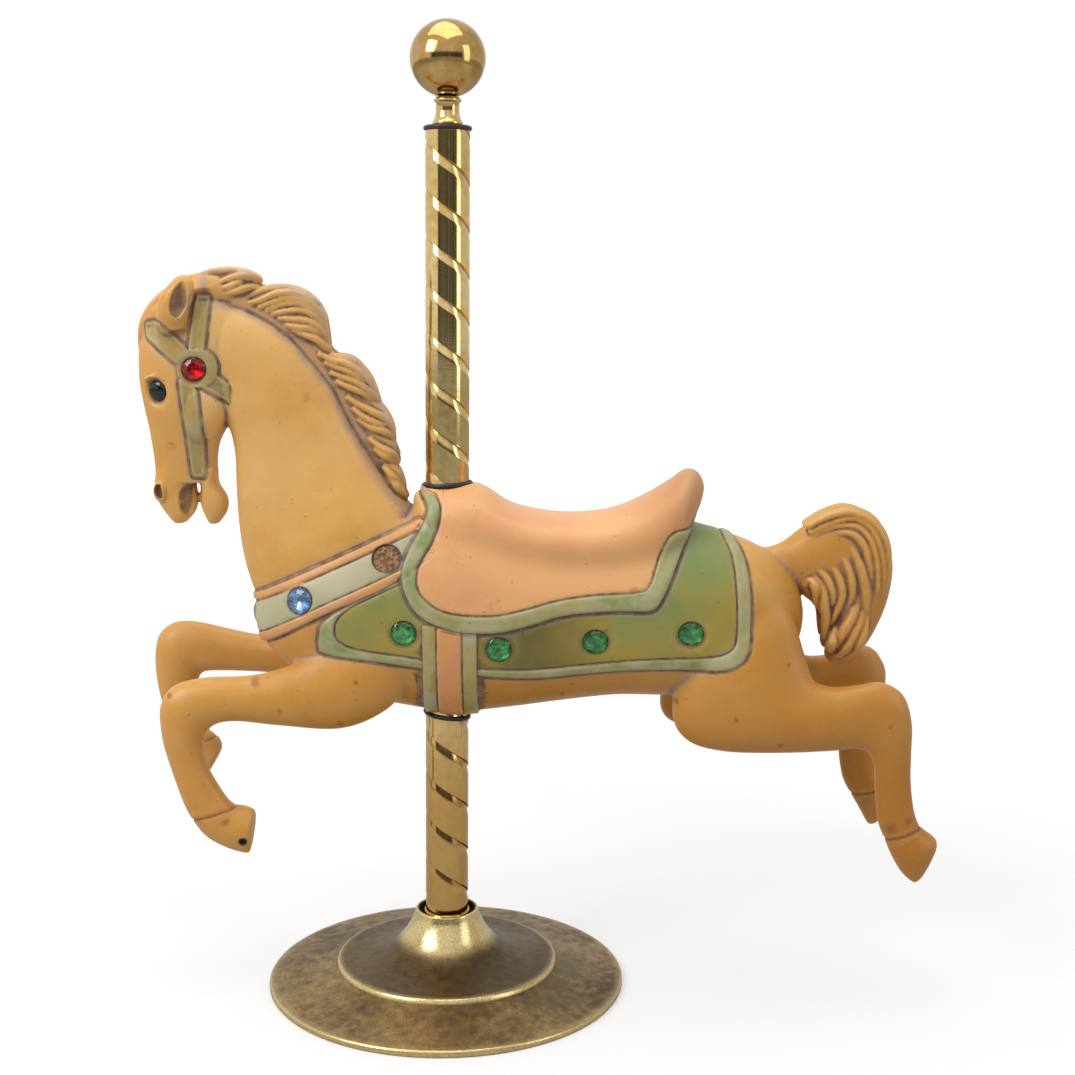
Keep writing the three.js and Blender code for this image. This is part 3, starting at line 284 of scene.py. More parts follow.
class Finish(Enum):
    """Names of the record's material slots, used here to sort the pieces by finish."""

    HORSE = "horse_paint"
    POLE = "pole_brass"
    STAND = "stand_brass"
    BALL = "ball_brass"
    BLACK_RUBBER = "black_gasket"
    BROWN_RUBBER = "brown_gasket"
    GREEN = "green_stone"
    BLUE = "blue_stone"
    RED = "red_stone"
    EYE = "eye_glass"


def paint(red: float, green: float, blue: float) -> tuple[float, float, float, float]:
    """Linear colour from a painter's 0 to 255 values.

    Args:
        red, green, blue: display values.

    Returns:
        Linear red, green, blue and alpha.
    """
    def linear(value: float) -> float:
        """One channel's linear value."""
        share = value / 255
        return share / 12.92 if share <= 0.04045 else ((share + 0.055) / 1.055) ** 2.4

    return (linear(red), linear(green), linear(blue), 1.0)


def curve(rows: np.ndarray, places: np.ndarray) -> np.ndarray:
    """Smooth values through rows.

    Args:
        rows: values, one row for each whole place.
        places: where to read, from 0 to the last row's index.

    Returns:
        One row for each place.
    """
    rows = np.asarray(rows, float)
    last = len(rows) - 1
    index = np.minimum(np.floor(places).astype(int), last - 1)
    t = (places - index)[:, None]
    a, b = rows[np.maximum(index - 1, 0)], rows[index]
    c, d = rows[index + 1], rows[np.minimum(index + 2, last)]
    return (2 * b + (c - a) * t + (2 * a - 5 * b + 4 * c - d) * t**2 + (3 * b - a - 3 * c + d) * t**3) / 2


def round_angles(count: int) -> np.ndarray:
    """Angles of points spread evenly round a ring, in radians."""
    return np.linspace(0, 2 * math.pi, count, endpoint=False)


def side_view(outline: list[tuple[float, float]]) -> np.ndarray:
    """Millimetre x and z of an outline given in thousandths of the horse."""
    points = np.asarray(outline, float) * SHARE
    points[:, 1] += BELLY_LEVEL
    return points


def table_place(points: np.ndarray) -> tuple[np.ndarray, np.ndarray]:
    """The x and z of each point in thousandths of the horse."""
    return points[:, 0] / SHARE, (points[:, 2] - BELLY_LEVEL) / SHARE


def rounded(outline: np.ndarray, rounds: int = 3, cut: float = 0.22) -> np.ndarray:
    """Closed outline with its corners eased.

    Args:
        outline: corner points.
        rounds: how often each corner is cut.
        cut: share of an edge that a cut takes.

    Returns:
        The eased outline.
    """
    for _ in range(rounds):
        after = np.roll(outline, -1, 0)
        outline = np.stack([outline * (1 - cut) + after * cut, outline * cut + after * (1 - cut)], 1)
        outline = outline.reshape(-1, 2)
    return outline


def signed_distance(points: np.ndarray, outline: np.ndarray, reach: float = REACH) -> np.ndarray:
    """Distance from an outline, positive inside it, no further than reach.

    Args:
        points: x and z of each point.
        outline: corners of the closed outline.
        reach: largest distance that matters.

    Returns:
        One distance for each point.
    """
    result = np.full(len(points), -reach)
    low, high = outline.min(0) - reach, outline.max(0) + reach
    near = np.nonzero(((points > low) & (points < high)).all(1))[0]
    if not len(near):
        return result
    p = points[near]
    best = np.full(len(near), reach**2)
    inside = np.zeros(len(near), bool)
    for a, b in zip(outline, np.roll(outline, -1, 0)):
        edge = b - a
        length = max(float(edge @ edge), 1e-12)
        t = np.clip(((p - a) @ edge) / length, 0, 1)
        gap = p - (a + t[:, None] * edge)
        best = np.minimum(best, (gap**2).sum(1))
        crosses = (a[1] > p[:, 1]) != (b[1] > p[:, 1])
        if crosses.any() and b[1] != a[1]:
            at = a[0] + (p[:, 1] - a[1]) / (b[1] - a[1]) * edge[0]
            inside ^= crosses & (p[:, 0] < at)
    result[near] = np.where(inside, 1, -1) * np.sqrt(best)
    return result


def mane_distance(points: np.ndarray) -> np.ndarray:
    """Distance of each x y z point from the mane's outline in side view, positive inside it."""
    return signed_distance(points[:, [0, 2]], side_view(MANE_ROOT + MANE_EDGE[::-1]))


def segment_gap(points: np.ndarray, start: np.ndarray, end: np.ndarray) -> np.ndarray:
    """Distance of each point from a line between two places in side view."""
    edge = end - start
    t = np.clip(((points - start) @ edge) / float(edge @ edge), 0, 1)
    return np.linalg.norm(points - (start + t[:, None] * edge), axis=1)


def ease(values: np.ndarray, low: float, high: float) -> np.ndarray:
    """Smooth step of values from 0 at low to 1 at high."""
    t = np.clip((values - low) / (high - low), 0, 1)
    return t * t * (3 - 2 * t)


def outward(points: np.ndarray, triangles: np.ndarray) -> np.ndarray:
    """Triangles of a closed shell, all turned to face out."""
    corners = points[triangles]
    volume = np.einsum("ij,ij->", corners[:, 0], np.cross(corners[:, 1], corners[:, 2]))
    return triangles if volume > 0 else triangles[:, ::-1]


def skin(rings: np.ndarray) -> tuple[np.ndarray, np.ndarray]:
    """Closed skin over rings of points.

    Args:
        rings: ring, point on it, x y z.

    Returns:
        Points and triangles, facing out.
    """
    count, sides = rings.shape[:2]
    points = np.concatenate([rings.reshape(-1, 3), rings[0].mean(0)[None], rings[-1].mean(0)[None]])
    here = np.arange(sides)
    after = (here + 1) % sides
    start = (np.arange(count - 1) * sides)[:, None]
    a, b = (start + here).ravel(), (start + after).ravel()
    first, last = count * sides, count * sides + 1
    end = (count - 1) * sides
    triangles = np.concatenate([
        np.stack([a, b, b + sides], 1),
        np.stack([a, b + sides, a + sides], 1),
        np.stack([np.full(sides, first), after, here], 1),
        np.stack([np.full(sides, last), end + here, end + after], 1),
    ])
    return points, outward(points, triangles)


def limb_rings(table: list[tuple[float, ...]], sides: int, spacing: float, grow: float = 0.0,
               fullness: float = 2.0) -> np.ndarray:
    """Rings of a rounded limb.

    Args:
        table: cross-sections in thousandths of the horse.
        sides: points on each ring.
        spacing: millimetres between rings, about.
        grow: millimetres added all round.
        fullness: 2 for an ellipse, more for a squarer section.

    Returns:
        Ring, point on it, x y z in millimetres.
    """
    rows = np.asarray(table, float)
    middles = (rows[:, 0:2] + rows[:, 2:4]) / 2 * SHARE
    length = np.linalg.norm(np.diff(middles, axis=0), axis=1).sum()
    count = max(int(length / spacing), 3 * len(rows))
    row = curve(rows, np.linspace(0, len(rows) - 1, count))
    front = side_view(row[:, 0:2])
    back = side_view(row[:, 2:4])
    middle = (front + back) / 2
    across = front - middle
    depth = np.linalg.norm(across, axis=1, keepdims=True)
    across = across / depth
    angle = round_angles(sides)
    power = 2 / fullness
    along = np.sign(np.cos(angle)) * np.abs(np.cos(angle)) ** power
    wide = np.sign(np.sin(angle)) * np.abs(np.sin(angle)) ** power
    rings = np.empty((count, sides, 3))
    reach = (depth + grow) * along
    rings[:, :, 0] = middle[:, :1] + across[:, :1] * reach
    rings[:, :, 2] = middle[:, 1:] + across[:, 1:] * reach
    rings[:, :, 1] = row[:, 4:5] * SHARE + (row[:, 5:6] * SHARE + grow) * wide
    return rings


def lock_rings(path: list[tuple[float, float]], ys: tuple[float, float, float], width: float,
               depth: float, sides: int = 14) -> np.ndarray:
    """Rings of one carved lock of hair.

    Args:
        path: centre line in side view, in thousandths of the horse.
        ys: distance from the middle plane at the root, halfway and at the tip.
        width: half width in side view.
        depth: half thickness across the horse.
        sides: points on each ring.

    Returns:
        Ring, point on it, x y z in millimetres.
    """
    count = 5 * len(path)
    share = np.linspace(0, 1, count)
    line = side_view(curve(np.asarray(path, float), share * (len(path) - 1)))
    tangent = np.gradient(line, axis=0)
    tangent /= np.linalg.norm(tangent, axis=1, keepdims=True)
    normal = np.stack([-tangent[:, 1], tangent[:, 0]], 1)
    taper = np.clip(np.sin(math.pi * np.clip(0.1 + 0.86 * share, 0, 1)), 0, 1) ** 0.55
    y = curve(np.asarray(ys, float)[:, None], share * 2)[:, 0]
    angle = round_angles(sides)
    rings = np.empty((count, sides, 3))
    spread = (width * taper)[:, None] * np.cos(angle)
    rings[:, :, 0] = line[:, :1] + normal[:, :1] * spread
    rings[:, :, 2] = line[:, 1:] + normal[:, 1:] * spread
    rings[:, :, 1] = y[:, None] + (depth * taper)[:, None] * np.sin(angle)
    return rings


def paired(rings: np.ndarray) -> list[np.ndarray]:
    """The rings, and the same ones on the other side of the horse."""
    return [rings, rings * np.array([1.0, -1.0, 1.0])]


def ball_rings(middle: tuple[float, float, float], radii: tuple[float, float, float]) -> np.ndarray:
    """Rings of a rounded swelling.

    Args:
        middle: x and z in thousandths of the horse with y in millimetres between them.
        radii: along x, y and z, in millimetres.

    Returns:
        Ring, point on it, x y z in millimetres.
    """
    up = np.linspace(-0.49 * math.pi, 0.49 * math.pi, 14)[:, None]
    turn = round_angles(24)[None]
    at = (middle[0] * SHARE, middle[1], BELLY_LEVEL + middle[2] * SHARE)
    return np.stack([
        at[0] + radii[0] * np.cos(up) * np.cos(turn),
        at[1] + radii[1] * np.cos(up) * np.sin(turn),
        at[2] + radii[2] * np.sin(up) * np.ones_like(turn),
    ], 2)


def lathe_rings(profile: list[tuple[float, float]], sides: int) -> np.ndarray:
    """Rings turned round the pole's axis.

    Args:
        profile: radius and height pairs in millimetres.
        sides: points on each ring.

    Returns:
        Ring, point on it, x y z in millimetres.
    """
    radius, height = np.asarray(profile, float).T
    turn = round_angles(sides)
    return np.stack([
        radius[:, None] * np.cos(turn),
        radius[:, None] * np.sin(turn),
        height[:, None] * np.ones(sides),
    ], 2)


def drilled(rings: np.ndarray) -> tuple[np.ndarray, np.ndarray]:
    """Closed skin over rings whose last ring joins the first, for a piece with a hole through it."""
    count, sides = rings.shape[:2]
    ring = np.arange(count)[:, None] * sides
    upper = ((np.arange(count) + 1) % count)[:, None] * sides
    here = np.arange(sides)
    after = (here + 1) % sides
    a, b, c, d = ((ring + here).ravel(), (ring + after).ravel(), (upper + after).ravel(),
                  (upper + here).ravel())
    triangles = np.concatenate([np.stack([a, b, c], 1), np.stack([a, c, d], 1)])
    points = rings.reshape(-1, 3)
    return points, outward(points, triangles)


def mesh_object(name: str, shells: list[tuple[np.ndarray, np.ndarray]]) -> bpy.types.Object:
    """Object in metres from millimetre shells.

    Args:
        name: name of the object.
        shells: points and triangles of each shell.

    Returns:
        The linked object.
    """
    points, faces, start = [], [], 0
    for shell_points, shell_faces in shells:
        points.append(shell_points)
        faces.append(shell_faces + start)
        start += len(shell_points)
    mesh = bpy.data.meshes.new(name)
    mesh.from_pydata((np.concatenate(points) * MM).tolist(), [], np.concatenate(faces).tolist())
    mesh.update()
    thing = bpy.data.objects.new(name, mesh)
    bpy.context.scene.collection.objects.link(thing)
    return thing


def coordinates(mesh: bpy.types.Mesh) -> np.ndarray:
    """Millimetre positions of a mesh's vertices."""
    flat = np.empty(len(mesh.vertices) * 3)
    mesh.vertices.foreach_get("co", flat)
    return flat.reshape(-1, 3) / MM


def node_points(node: str) -> np.ndarray:
    """Millimetre positions of a CAD node's vertices."""
    return coordinates(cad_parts[node].data)


def tilt(points: np.ndarray) -> float:
    """How much a ring's points rise along X."""
    return np.polyfit(points[:, 0], points[:, 2], 1)[0]


def round_size(node: str) -> tuple[float, float, float]:
    """Radius, bottom and top of a round CAD node, in millimetres."""
    low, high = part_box(node)
    return (high.x - low.x) / MM / 2, low.z / MM, high.z / MM


def move_vertices(mesh: bpy.types.Mesh, points: np.ndarray) -> None:
    """Writes millimetre positions to a mesh.

    Args:
        mesh: mesh to change.
        points: new position of each vertex.
    """
    mesh.vertices.foreach_set("co", (points * MM).ravel())
    mesh.update()


def normals(mesh: bpy.types.Mesh) -> np.ndarray:
    """Outward direction at each vertex."""
    flat = np.empty(len(mesh.vertices) * 3, np.float32)
    mesh.vertex_normals.foreach_get("vector", flat)
    return flat.reshape(-1, 3).astype(float)


def write_values(mesh: bpy.types.Mesh, name: str, values: np.ndarray) -> None:
    """Keeps one number per vertex on a mesh, for its material.

    Args:
        mesh: mesh to mark.
        name: attribute name.
        values: one number per vertex.
    """
    layer = mesh.attributes.get(name) or mesh.attributes.new(name, "FLOAT", "POINT")
    layer.data.foreach_set("value", np.ascontiguousarray(values, np.float32))


def apply_modifiers(thing: bpy.types.Object) -> None:
    """Turns an object's modifiers into its own mesh."""
    graph = bpy.context.evaluated_depsgraph_get()
    graph.update()
    made = bpy.data.meshes.new_from_object(thing.evaluated_get(graph))
    thing.modifiers.clear()
    old = thing.data
    thing.data = made
    bpy.data.meshes.remove(old)


def carve(thing: bpy.types.Object, cutters: list[tuple[np.ndarray, np.ndarray]]) -> None:
    """Cuts shells away from an object.

    Args:
        thing: object to cut.
        cutters: closed shells in millimetres that don't touch each other.
    """
    tool = mesh_object("cutter", cutters)
    cut = thing.modifiers.new("cut", "BOOLEAN")
    cut.operation = "DIFFERENCE"
    cut.solver = "MANIFOLD"
    cut.object = tool
    apply_modifiers(thing)
    bpy.data.objects.remove(tool)


def polish_shading(thing: bpy.types.Object, crease_degrees: float) -> None:
    """Smooth shading with creases kept crisp.

    Args:
        thing: object to shade.
        crease_degrees: edges sharper than this stay crisp.
    """
    thing.data.polygons.foreach_set("use_smooth", np.ones(len(thing.data.polygons), bool))
    thing.data.set_sharp_from_angle(angle=math.radians(crease_degrees))


@dataclass
class Fairing:
    """Neighbour averaging over a mesh, from the two ends of each edge."""

    a: np.ndarray
    b: np.ndarray
    count: int
    degree: np.ndarray

    @classmethod
    def of(cls, mesh: bpy.types.Mesh) -> "Fairing":
        """Reads a mesh's edges."""
        flat = np.empty(len(mesh.edges) * 2, np.int32)
        mesh.edges.foreach_get("vertices", flat)
        a, b = flat.reshape(-1, 2).T
        count = len(mesh.vertices)
        degree = np.bincount(a, minlength=count) + np.bincount(b, minlength=count)
        return cls(a, b, count, np.maximum(degree, 1))

    def average(self, values: np.ndarray) -> np.ndarray:
        """Mean of each vertex's neighbours."""
        columns = values.reshape(self.count, -1)
        result = np.empty_like(columns)
        for index in range(columns.shape[1]):
            column = columns[:, index]
            total = np.bincount(self.a, column[self.b], self.count)
            total += np.bincount(self.b, column[self.a], self.count)
            result[:, index] = total / self.degree
        return result.reshape(values.shape)

    def smooth(self, values: np.ndarray, rounds: int, mask: np.ndarray | float = 1.0) -> np.ndarray:
        """Evens values out.

        Args:
            values: one row per vertex.
            rounds: how often.
            mask: how much each vertex takes part, 0 to 1.

        Returns:
            The evened values.
        """
        if not isinstance(mask, np.ndarray):
            for _ in range(rounds):
                values = values + (self.average(values) - values) * 0.5 * mask
            return values
        active = mask > 0.001
        kept = np.nonzero(active[self.a] | active[self.b])[0]
        used, places = np.unique(np.concatenate([self.a[kept], self.b[kept]]), return_inverse=True)
        part = Fairing(places[:len(kept)], places[len(kept):], len(used), self.degree[used])
        local = values[used]
        share = 0.5 * mask[used] * active[used]
        share = share[:, None] if values.ndim > 1 else share
        for _ in range(rounds):
            local = local + (part.average(local) - local) * share
        result = values.copy()
        result[used] = local
        return result


class Tree:
    """Short words for building shader nodes."""

    def __init__(self, tree: bpy.types.NodeTree) -> None:
        """Keeps the node tree."""
        self.tree = tree

    def node(self, kind: str, **settings: object) -> bpy.types.Node:
        """New node of a kind with its settings."""
        made = self.tree.nodes.new(kind)
        for name, value in settings.items():
            setattr(made, name, value)
        return made

    def feed(self, socket: bpy.types.NodeSocket, value: object) -> None:
        """Links a socket, or sets its value, on an input."""
        if isinstance(value, bpy.types.NodeSocket):
            self.tree.links.new(value, socket)
        elif value is not None:
            socket.default_value = value

    def math(self, operation: str, a: object, b: object = None, clamp: bool = False) -> bpy.types.NodeSocket:
        """Result of a math node."""
        made = self.node("ShaderNodeMath", operation=operation, use_clamp=clamp)
        self.feed(made.inputs[0], a)
        self.feed(made.inputs[1], b)
        return made.outputs[0]

    def times(self, a: object, b: object, clamp: bool = False) -> bpy.types.NodeSocket:
        """Product of two values."""
        return self.math("MULTIPLY", a, b, clamp)

    def plus(self, a: object, b: object, clamp: bool = False) -> bpy.types.NodeSocket:
        """Sum of two values."""
        return self.math("ADD", a, b, clamp)

    def minus(self, a: object, b: object) -> bpy.types.NodeSocket:
        """Difference of two values."""
        return self.math("SUBTRACT", a, b)

    def most(self, *values: object) -> bpy.types.NodeSocket:
        """Largest of several values."""
        return functools.reduce(lambda a, b: self.math("MAXIMUM", a, b), values)

    def blend(self, share: object, a: object, b: object) -> bpy.types.NodeSocket:
        """Colour between a and b."""
        made = self.node("ShaderNodeMix", data_type="RGBA", blend_type="MIX")
        self.feed(made.inputs[0], share)
        self.feed(made.inputs[6], a)
        self.feed(made.inputs[7], b)
        return made.outputs[2]

    def span(self, value: object, low: object, high: object, start: object = 0.0,
             end: object = 1.0) -> bpy.types.NodeSocket:
        """Value mapped from low..high to start..end, clamped."""
        made = self.node("ShaderNodeMapRange")
        for socket, given in zip(made.inputs, (value, low, high, start, end)):
            self.feed(socket, given)
        return made.outputs[0]

    def noise(self, scale: object, detail: float = 3.0, vector: object = None,
              roughness: float = 0.55) -> bpy.types.NodeSocket:
        """Noise between 0 and 1."""
        made = self.node("ShaderNodeTexNoise")
        self.feed(made.inputs["Vector"], vector if vector is not None else self.place())
        self.feed(made.inputs["Scale"], scale)
        made.inputs["Detail"].default_value = detail
        made.inputs["Roughness"].default_value = roughness
        return made.outputs[0]

    def cells(self, scale: object, feature: str = "F1", vector: object = None) -> bpy.types.Node:
        """Cell texture node."""
        made = self.node("ShaderNodeTexVoronoi", feature=feature)
        self.feed(made.inputs["Vector"], vector if vector is not None else self.place())
        self.feed(made.inputs["Scale"], scale)
        return made

    def place(self) -> bpy.types.NodeSocket:
        """Object coordinates, in metres."""
        return self.node("ShaderNodeTexCoord").outputs["Object"]

    def axis(self, index: int) -> bpy.types.NodeSocket:
        """One coordinate of the place, in metres."""
        split = self.node("ShaderNodeSeparateXYZ")
        self.feed(split.inputs[0], self.place())
        return split.outputs[index]

    def stretched(self, x: float, y: float, z: float) -> bpy.types.NodeSocket:
        """Object coordinates scaled along each axis."""
        made = self.node("ShaderNodeMapping")
        self.feed(made.inputs["Vector"], self.place())
        made.inputs["Scale"].default_value = (x, y, z)
        return made.outputs[0]

    def value(self, name: str) -> bpy.types.NodeSocket:
        """Number kept on the mesh."""
        return self.node("ShaderNodeAttribute", attribute_name=name).outputs["Fac"]

    def effect(self, group: bpy.types.NodeTree, **inputs: object) -> bpy.types.NodeSocket:
        """Result of a node group with its values."""
        made = self.node("ShaderNodeGroup", node_tree=group)
        for name, given in inputs.items():
            self.feed(made.inputs[name.replace("_", " ").title()], given)
        return made.outputs[0]

    def cell_number(self, cells: bpy.types.Node) -> bpy.types.NodeSocket:
        """One random number for each cell of a cell texture."""
        split = self.node("ShaderNodeSeparateColor")
        self.feed(split.inputs[0], cells.outputs["Color"])
        return split.outputs[0]

    def bump(self, height: object, strength: float, distance: float, under: object = None
             ) -> bpy.types.NodeSocket:
        """Normal from a height."""
        made = self.node("ShaderNodeBump")
        made.inputs["Strength"].default_value = strength
        made.inputs["Distance"].default_value = distance
        self.feed(made.inputs["Height"], height)
        self.feed(made.inputs["Normal"], under)
        return made.outputs[0]


class Effects:
    """Shader node groups that several materials share."""

    def __init__(self) -> None:
        """Builds each group once."""
        self.edge = self.paint_edge()
        self.specks = self.speck_mask()
        self.cracks = self.crack_mask()
        self.brushing = self.brushed_streaks()
        self.mottle = self.mottled_tone()

    def group(self, name: str, inputs: dict[str, float], outputs: list[str]) -> tuple[Tree, dict, dict]:
        """Empty group with float sockets.

        Args:
            name: group name.
            inputs: socket names with their usual values.
            outputs: socket names.

        Returns:
            The tree, the sockets that come in, and the sockets that go out.
        """
        tree = bpy.data.node_groups.new(name, "ShaderNodeTree")
        for label, usual in inputs.items():
            socket = tree.interface.new_socket(label, in_out="INPUT", socket_type="NodeSocketFloat")
            socket.default_value = usual
        for label in outputs:
            tree.interface.new_socket(label, in_out="OUTPUT", socket_type="NodeSocketFloat")
        build = Tree(tree)
        come = build.node("NodeGroupInput")
        leave = build.node("NodeGroupOutput")
        return build, {s.name: s for s in come.outputs}, {s.name: s for s in leave.inputs}

    def paint_edge(self) -> bpy.types.NodeTree:
        """Mask inside a painted outline, with a brush's small waver."""
        build, come, leave = self.group(
            "paint edge", {"Distance": 0.0, "Waver": 0.5, "Softness": 0.25, "Inset": 0.0}, ["Mask"])
        waver = build.times(build.minus(build.noise(260.0, 3.0), 0.5), come["Waver"])
        moved = build.minus(build.plus(come["Distance"], waver), come["Inset"])
        low = build.times(come["Softness"], -1.0)
        build.feed(leave["Mask"], build.span(moved, low, come["Softness"]))
        return build.tree

    def speck_mask(self) -> bpy.types.NodeTree:
        """Small round specks of dirt or pits, scattered unevenly."""
        build, come, leave = self.group(
            "specks", {"Scale": 120.0, "Size": 0.12, "Amount": 0.5}, ["Mask"])
        cells = build.cells(come["Scale"])
        chosen = build.math("LESS_THAN", build.cell_number(cells), come["Amount"])
        spot = build.span(cells.outputs["Distance"], come["Size"], 0.0)
        build.feed(leave["Mask"], build.times(spot, chosen, clamp=True))
        return build.tree

    def crack_mask(self) -> bpy.types.NodeTree:
        """Hairline cracks in an old glaze, in patches."""
        build, come, leave = self.group("hairline cracks", {"Scale": 60.0, "Width": 0.02}, ["Mask"])
        bend = build.node("ShaderNodeVectorMath", operation="SCALE")
        warp = build.node("ShaderNodeTexNoise")
        build.feed(warp.inputs["Vector"], build.place())
        warp.inputs["Scale"].default_value = 40.0
        build.feed(bend.inputs[0], warp.outputs[1])
        bend.inputs["Scale"].default_value = 0.02
        moved = build.node("ShaderNodeVectorMath", operation="ADD")
        build.feed(moved.inputs[0], build.place())
        build.feed(moved.inputs[1], bend.outputs[0])
        cells = build.cells(come["Scale"], "DISTANCE_TO_EDGE", moved.outputs[0])
        line = build.span(cells.outputs["Distance"], come["Width"], 0.0)
        patch = build.span(build.noise(14.0, 2.0), 0.54, 0.66)
        build.feed(leave["Mask"], build.times(line, patch))
        return build.tree

    def brushed_streaks(self) -> bpy.types.NodeTree:
        """Fine polishing marks round the pole's axis."""
        build, come, leave = self.group("polishing marks", {"Fineness": 900.0}, ["Height"])
        vector = build.stretched(0.03, 0.03, 1.0)
        build.feed(leave["Height"], build.noise(come["Fineness"], 4.0, vector))
        return build.tree

    def mottled_tone(self) -> bpy.types.NodeTree:
        """Cloudy tone from broad and fine noise."""
        build, come, leave = self.group(
            "mottled tone", {"Broad": 9.0, "Fine": 90.0, "Fine Share": 0.4}, ["Tone"])
        broad = build.noise(come["Broad"], 4.0)
        fine = build.noise(come["Fine"], 4.0)
        gap = build.times(build.minus(fine, broad), come["Fine Share"])
        build.feed(leave["Tone"], build.plus(broad, gap))
        return build.tree


def new_material(name: str) -> tuple[bpy.types.Material, Tree, bpy.types.Node]:
    """Empty material with its Principled BSDF.

    Args:
        name: name of the material.

    Returns:
        The material, its tree and the shader node.
    """
    material = bpy.data.materials.new(name)
    material.use_nodes = True
    build = Tree(material.node_tree)
    return material, build, material.node_tree.nodes["Principled BSDF"]


@dataclass(frozen=True)
class HorsePaint:
    """Hand-rubbed antique paint on the carved horse, with painted light and shade on its coat, saddle and
    hollows.
    """

    coat: tuple = paint(222, 170, 90)
    coat_deep: tuple = paint(196, 134, 46)
    coat_shade: tuple = paint(174, 112, 28)
    hair: tuple = paint(196, 140, 66)
    coat_pale: tuple = paint(232, 190, 122)
    lilac: tuple = paint(150, 138, 138)
    recess: tuple = paint(92, 60, 36)
    line: tuple = paint(70, 58, 54)
    residue: tuple = paint(168, 124, 80)
    sage: tuple = paint(168, 152, 92)
    sage_pale: tuple = paint(172, 166, 126)
    strap: tuple = paint(170, 138, 72)
    band: tuple = paint(188, 180, 148)
    olive: tuple = paint(168, 144, 60)
    green: tuple = paint(124, 138, 78)
    moss: tuple = paint(98, 90, 36)
    saddle: tuple = paint(228, 170, 112)
    cantle_and_shade: tuple = paint(190, 128, 76)
    blush: tuple = paint(216, 142, 104)
    orange: tuple = paint(218, 152, 84)
    speck: tuple = paint(78, 44, 22)
    stain: tuple = paint(138, 82, 34)

    def build(self, effects: Effects) -> bpy.types.Material:
        """Makes the paint.

        Args:
            effects: shared node groups.

        Returns:
            The finished material.
        """
        material, tree, shader = new_material("antique horse paint")
        tone = tree.effect(effects.mottle, broad=7.0, fine=60.0, fine_share=0.3)
        smear = tree.span(tree.noise(120.0, 4.0), 0.3, 0.7, 0.35, 1.0)
        colour = self.trappings(tree, effects, tone, self.coats(tree, tone))
        colour, dark = self.glaze(tree, colour, smear)
        dots = tree.effect(effects.specks, scale=110.0, size=0.11, amount=0.3)
        dust = tree.effect(effects.specks, scale=300.0, size=0.17, amount=0.12)
        blots = tree.effect(effects.specks, scale=30.0, size=0.16, amount=0.16)
        blots = tree.times(blots, tree.span(tree.noise(150.0, 4.0), 0.36, 0.6))
        hoof_line = tree.times(tree.span(tree.value("coronet"), 5.0, 0.0), smear)
        blots = tree.most(blots, tree.most(self.stains(tree), hoof_line))
        colour = tree.blend(tree.times(blots, 0.7), colour, self.stain)
        marks = tree.most(dots, tree.times(dust, 0.7))
        cracks = tree.effect(effects.cracks, scale=70.0, width=0.008)
        colour = tree.blend(tree.times(marks, 0.8), colour, self.speck)
        colour = tree.blend(tree.times(cracks, 0.3), colour, self.speck)
        tree.feed(shader.inputs["Base Color"], colour)

        gloss = tree.span(tree.noise(24.0, 4.0), 0.3, 0.7, 0.34, 0.48)
        tree.feed(shader.inputs["Roughness"], tree.plus(gloss, tree.times(dark, 0.25)))
        shader.inputs["Specular IOR Level"].default_value = 0.4
        tree.feed(shader.inputs["Coat Weight"], tree.span(dark, 0.0, 1.0, 0.14, 0.0))
        shader.inputs["Coat Roughness"].default_value = 0.24
        grain = tree.times(tree.noise(420.0, 3.0), 0.35)
        brush = tree.plus(grain, tree.noise(60.0, 4.0))
        pits = tree.times(tree.most(marks, cracks), -1.2)
        tree.feed(shader.inputs["Normal"], tree.bump(tree.plus(brush, pits), 0.32, 0.0006))
        return material

    def coats(self, tree: Tree, tone: bpy.types.NodeSocket) -> bpy.types.NodeSocket:
        """Ochre of the coat, deeper towards its legs, with painted light and shade: darker low down and over
        the rump, paler higher up and on the crest.

        Args:
            tree: nodes of the paint.
            tone: cloudy tone.

        Returns:
            The colour.
        """
        warm = tree.span(tone, 0.34, 0.64)
        height = tree.axis(2)
        # Painted shade: darker towards the bottom of the horse, less so at its front.
        low = tree.times(tree.span(height, 0.33, 0.17), tree.span(tree.axis(0), -0.14, 0.0, 0.3, 1.0))
        coat = tree.blend(tree.times(warm, 0.8), self.coat, self.coat_deep)
        coat = tree.blend(tree.times(low, 0.95), coat, self.coat_shade)
        # Painted light: paler patches higher up and along the crest.
        pale = tree.span(tree.noise(11.0, 2.0), 0.42, 0.68, 0.15, 0.75)
        pale = tree.times(pale, tree.span(height, 0.3, 0.42))
        crest_light = tree.times(tree.span(height, 0.42, 0.5), tree.span(tree.axis(0), -0.185, -0.165))
        pale = tree.most(pale, tree.times(crest_light, 0.7))
        face = tree.times(tree.span(tree.axis(0), -0.165, -0.185), tree.span(height, 0.35, 0.37))
        coat = tree.blend(tree.times(face, 0.45), tree.blend(pale, coat, self.coat_pale), self.coat_deep)
        # Painted shade over the rump.
        rump_shade = tree.times(tree.span(tree.axis(0), 0.2, 0.25), tree.span(height, 0.2, 0.27))
        coat = tree.blend(tree.times(rump_shade, 0.5), coat, self.coat_shade)
        mane = tree.span(tree.value("mane"), -2.0, 1.0, 0.0, 0.6)
        return tree.blend(mane, coat, self.hair)

    def trappings(self, tree: Tree, effects: Effects, tone: bpy.types.NodeSocket,
                  colour: bpy.types.NodeSocket) -> bpy.types.NodeSocket:
        """Paints collar, blanket, girth, saddle and bridle over the coat.

        Args:
            tree: nodes of the paint.
            effects: shared node groups.
            tone: cloudy tone.
            colour: the coat.

        Returns:
            The colour.
        """
        def inside(name: str) -> bpy.types.NodeSocket:
            """Mask of the paint inside an outline."""
            return tree.effect(effects.edge, distance=tree.value(name), waver=0.5, softness=0.3)

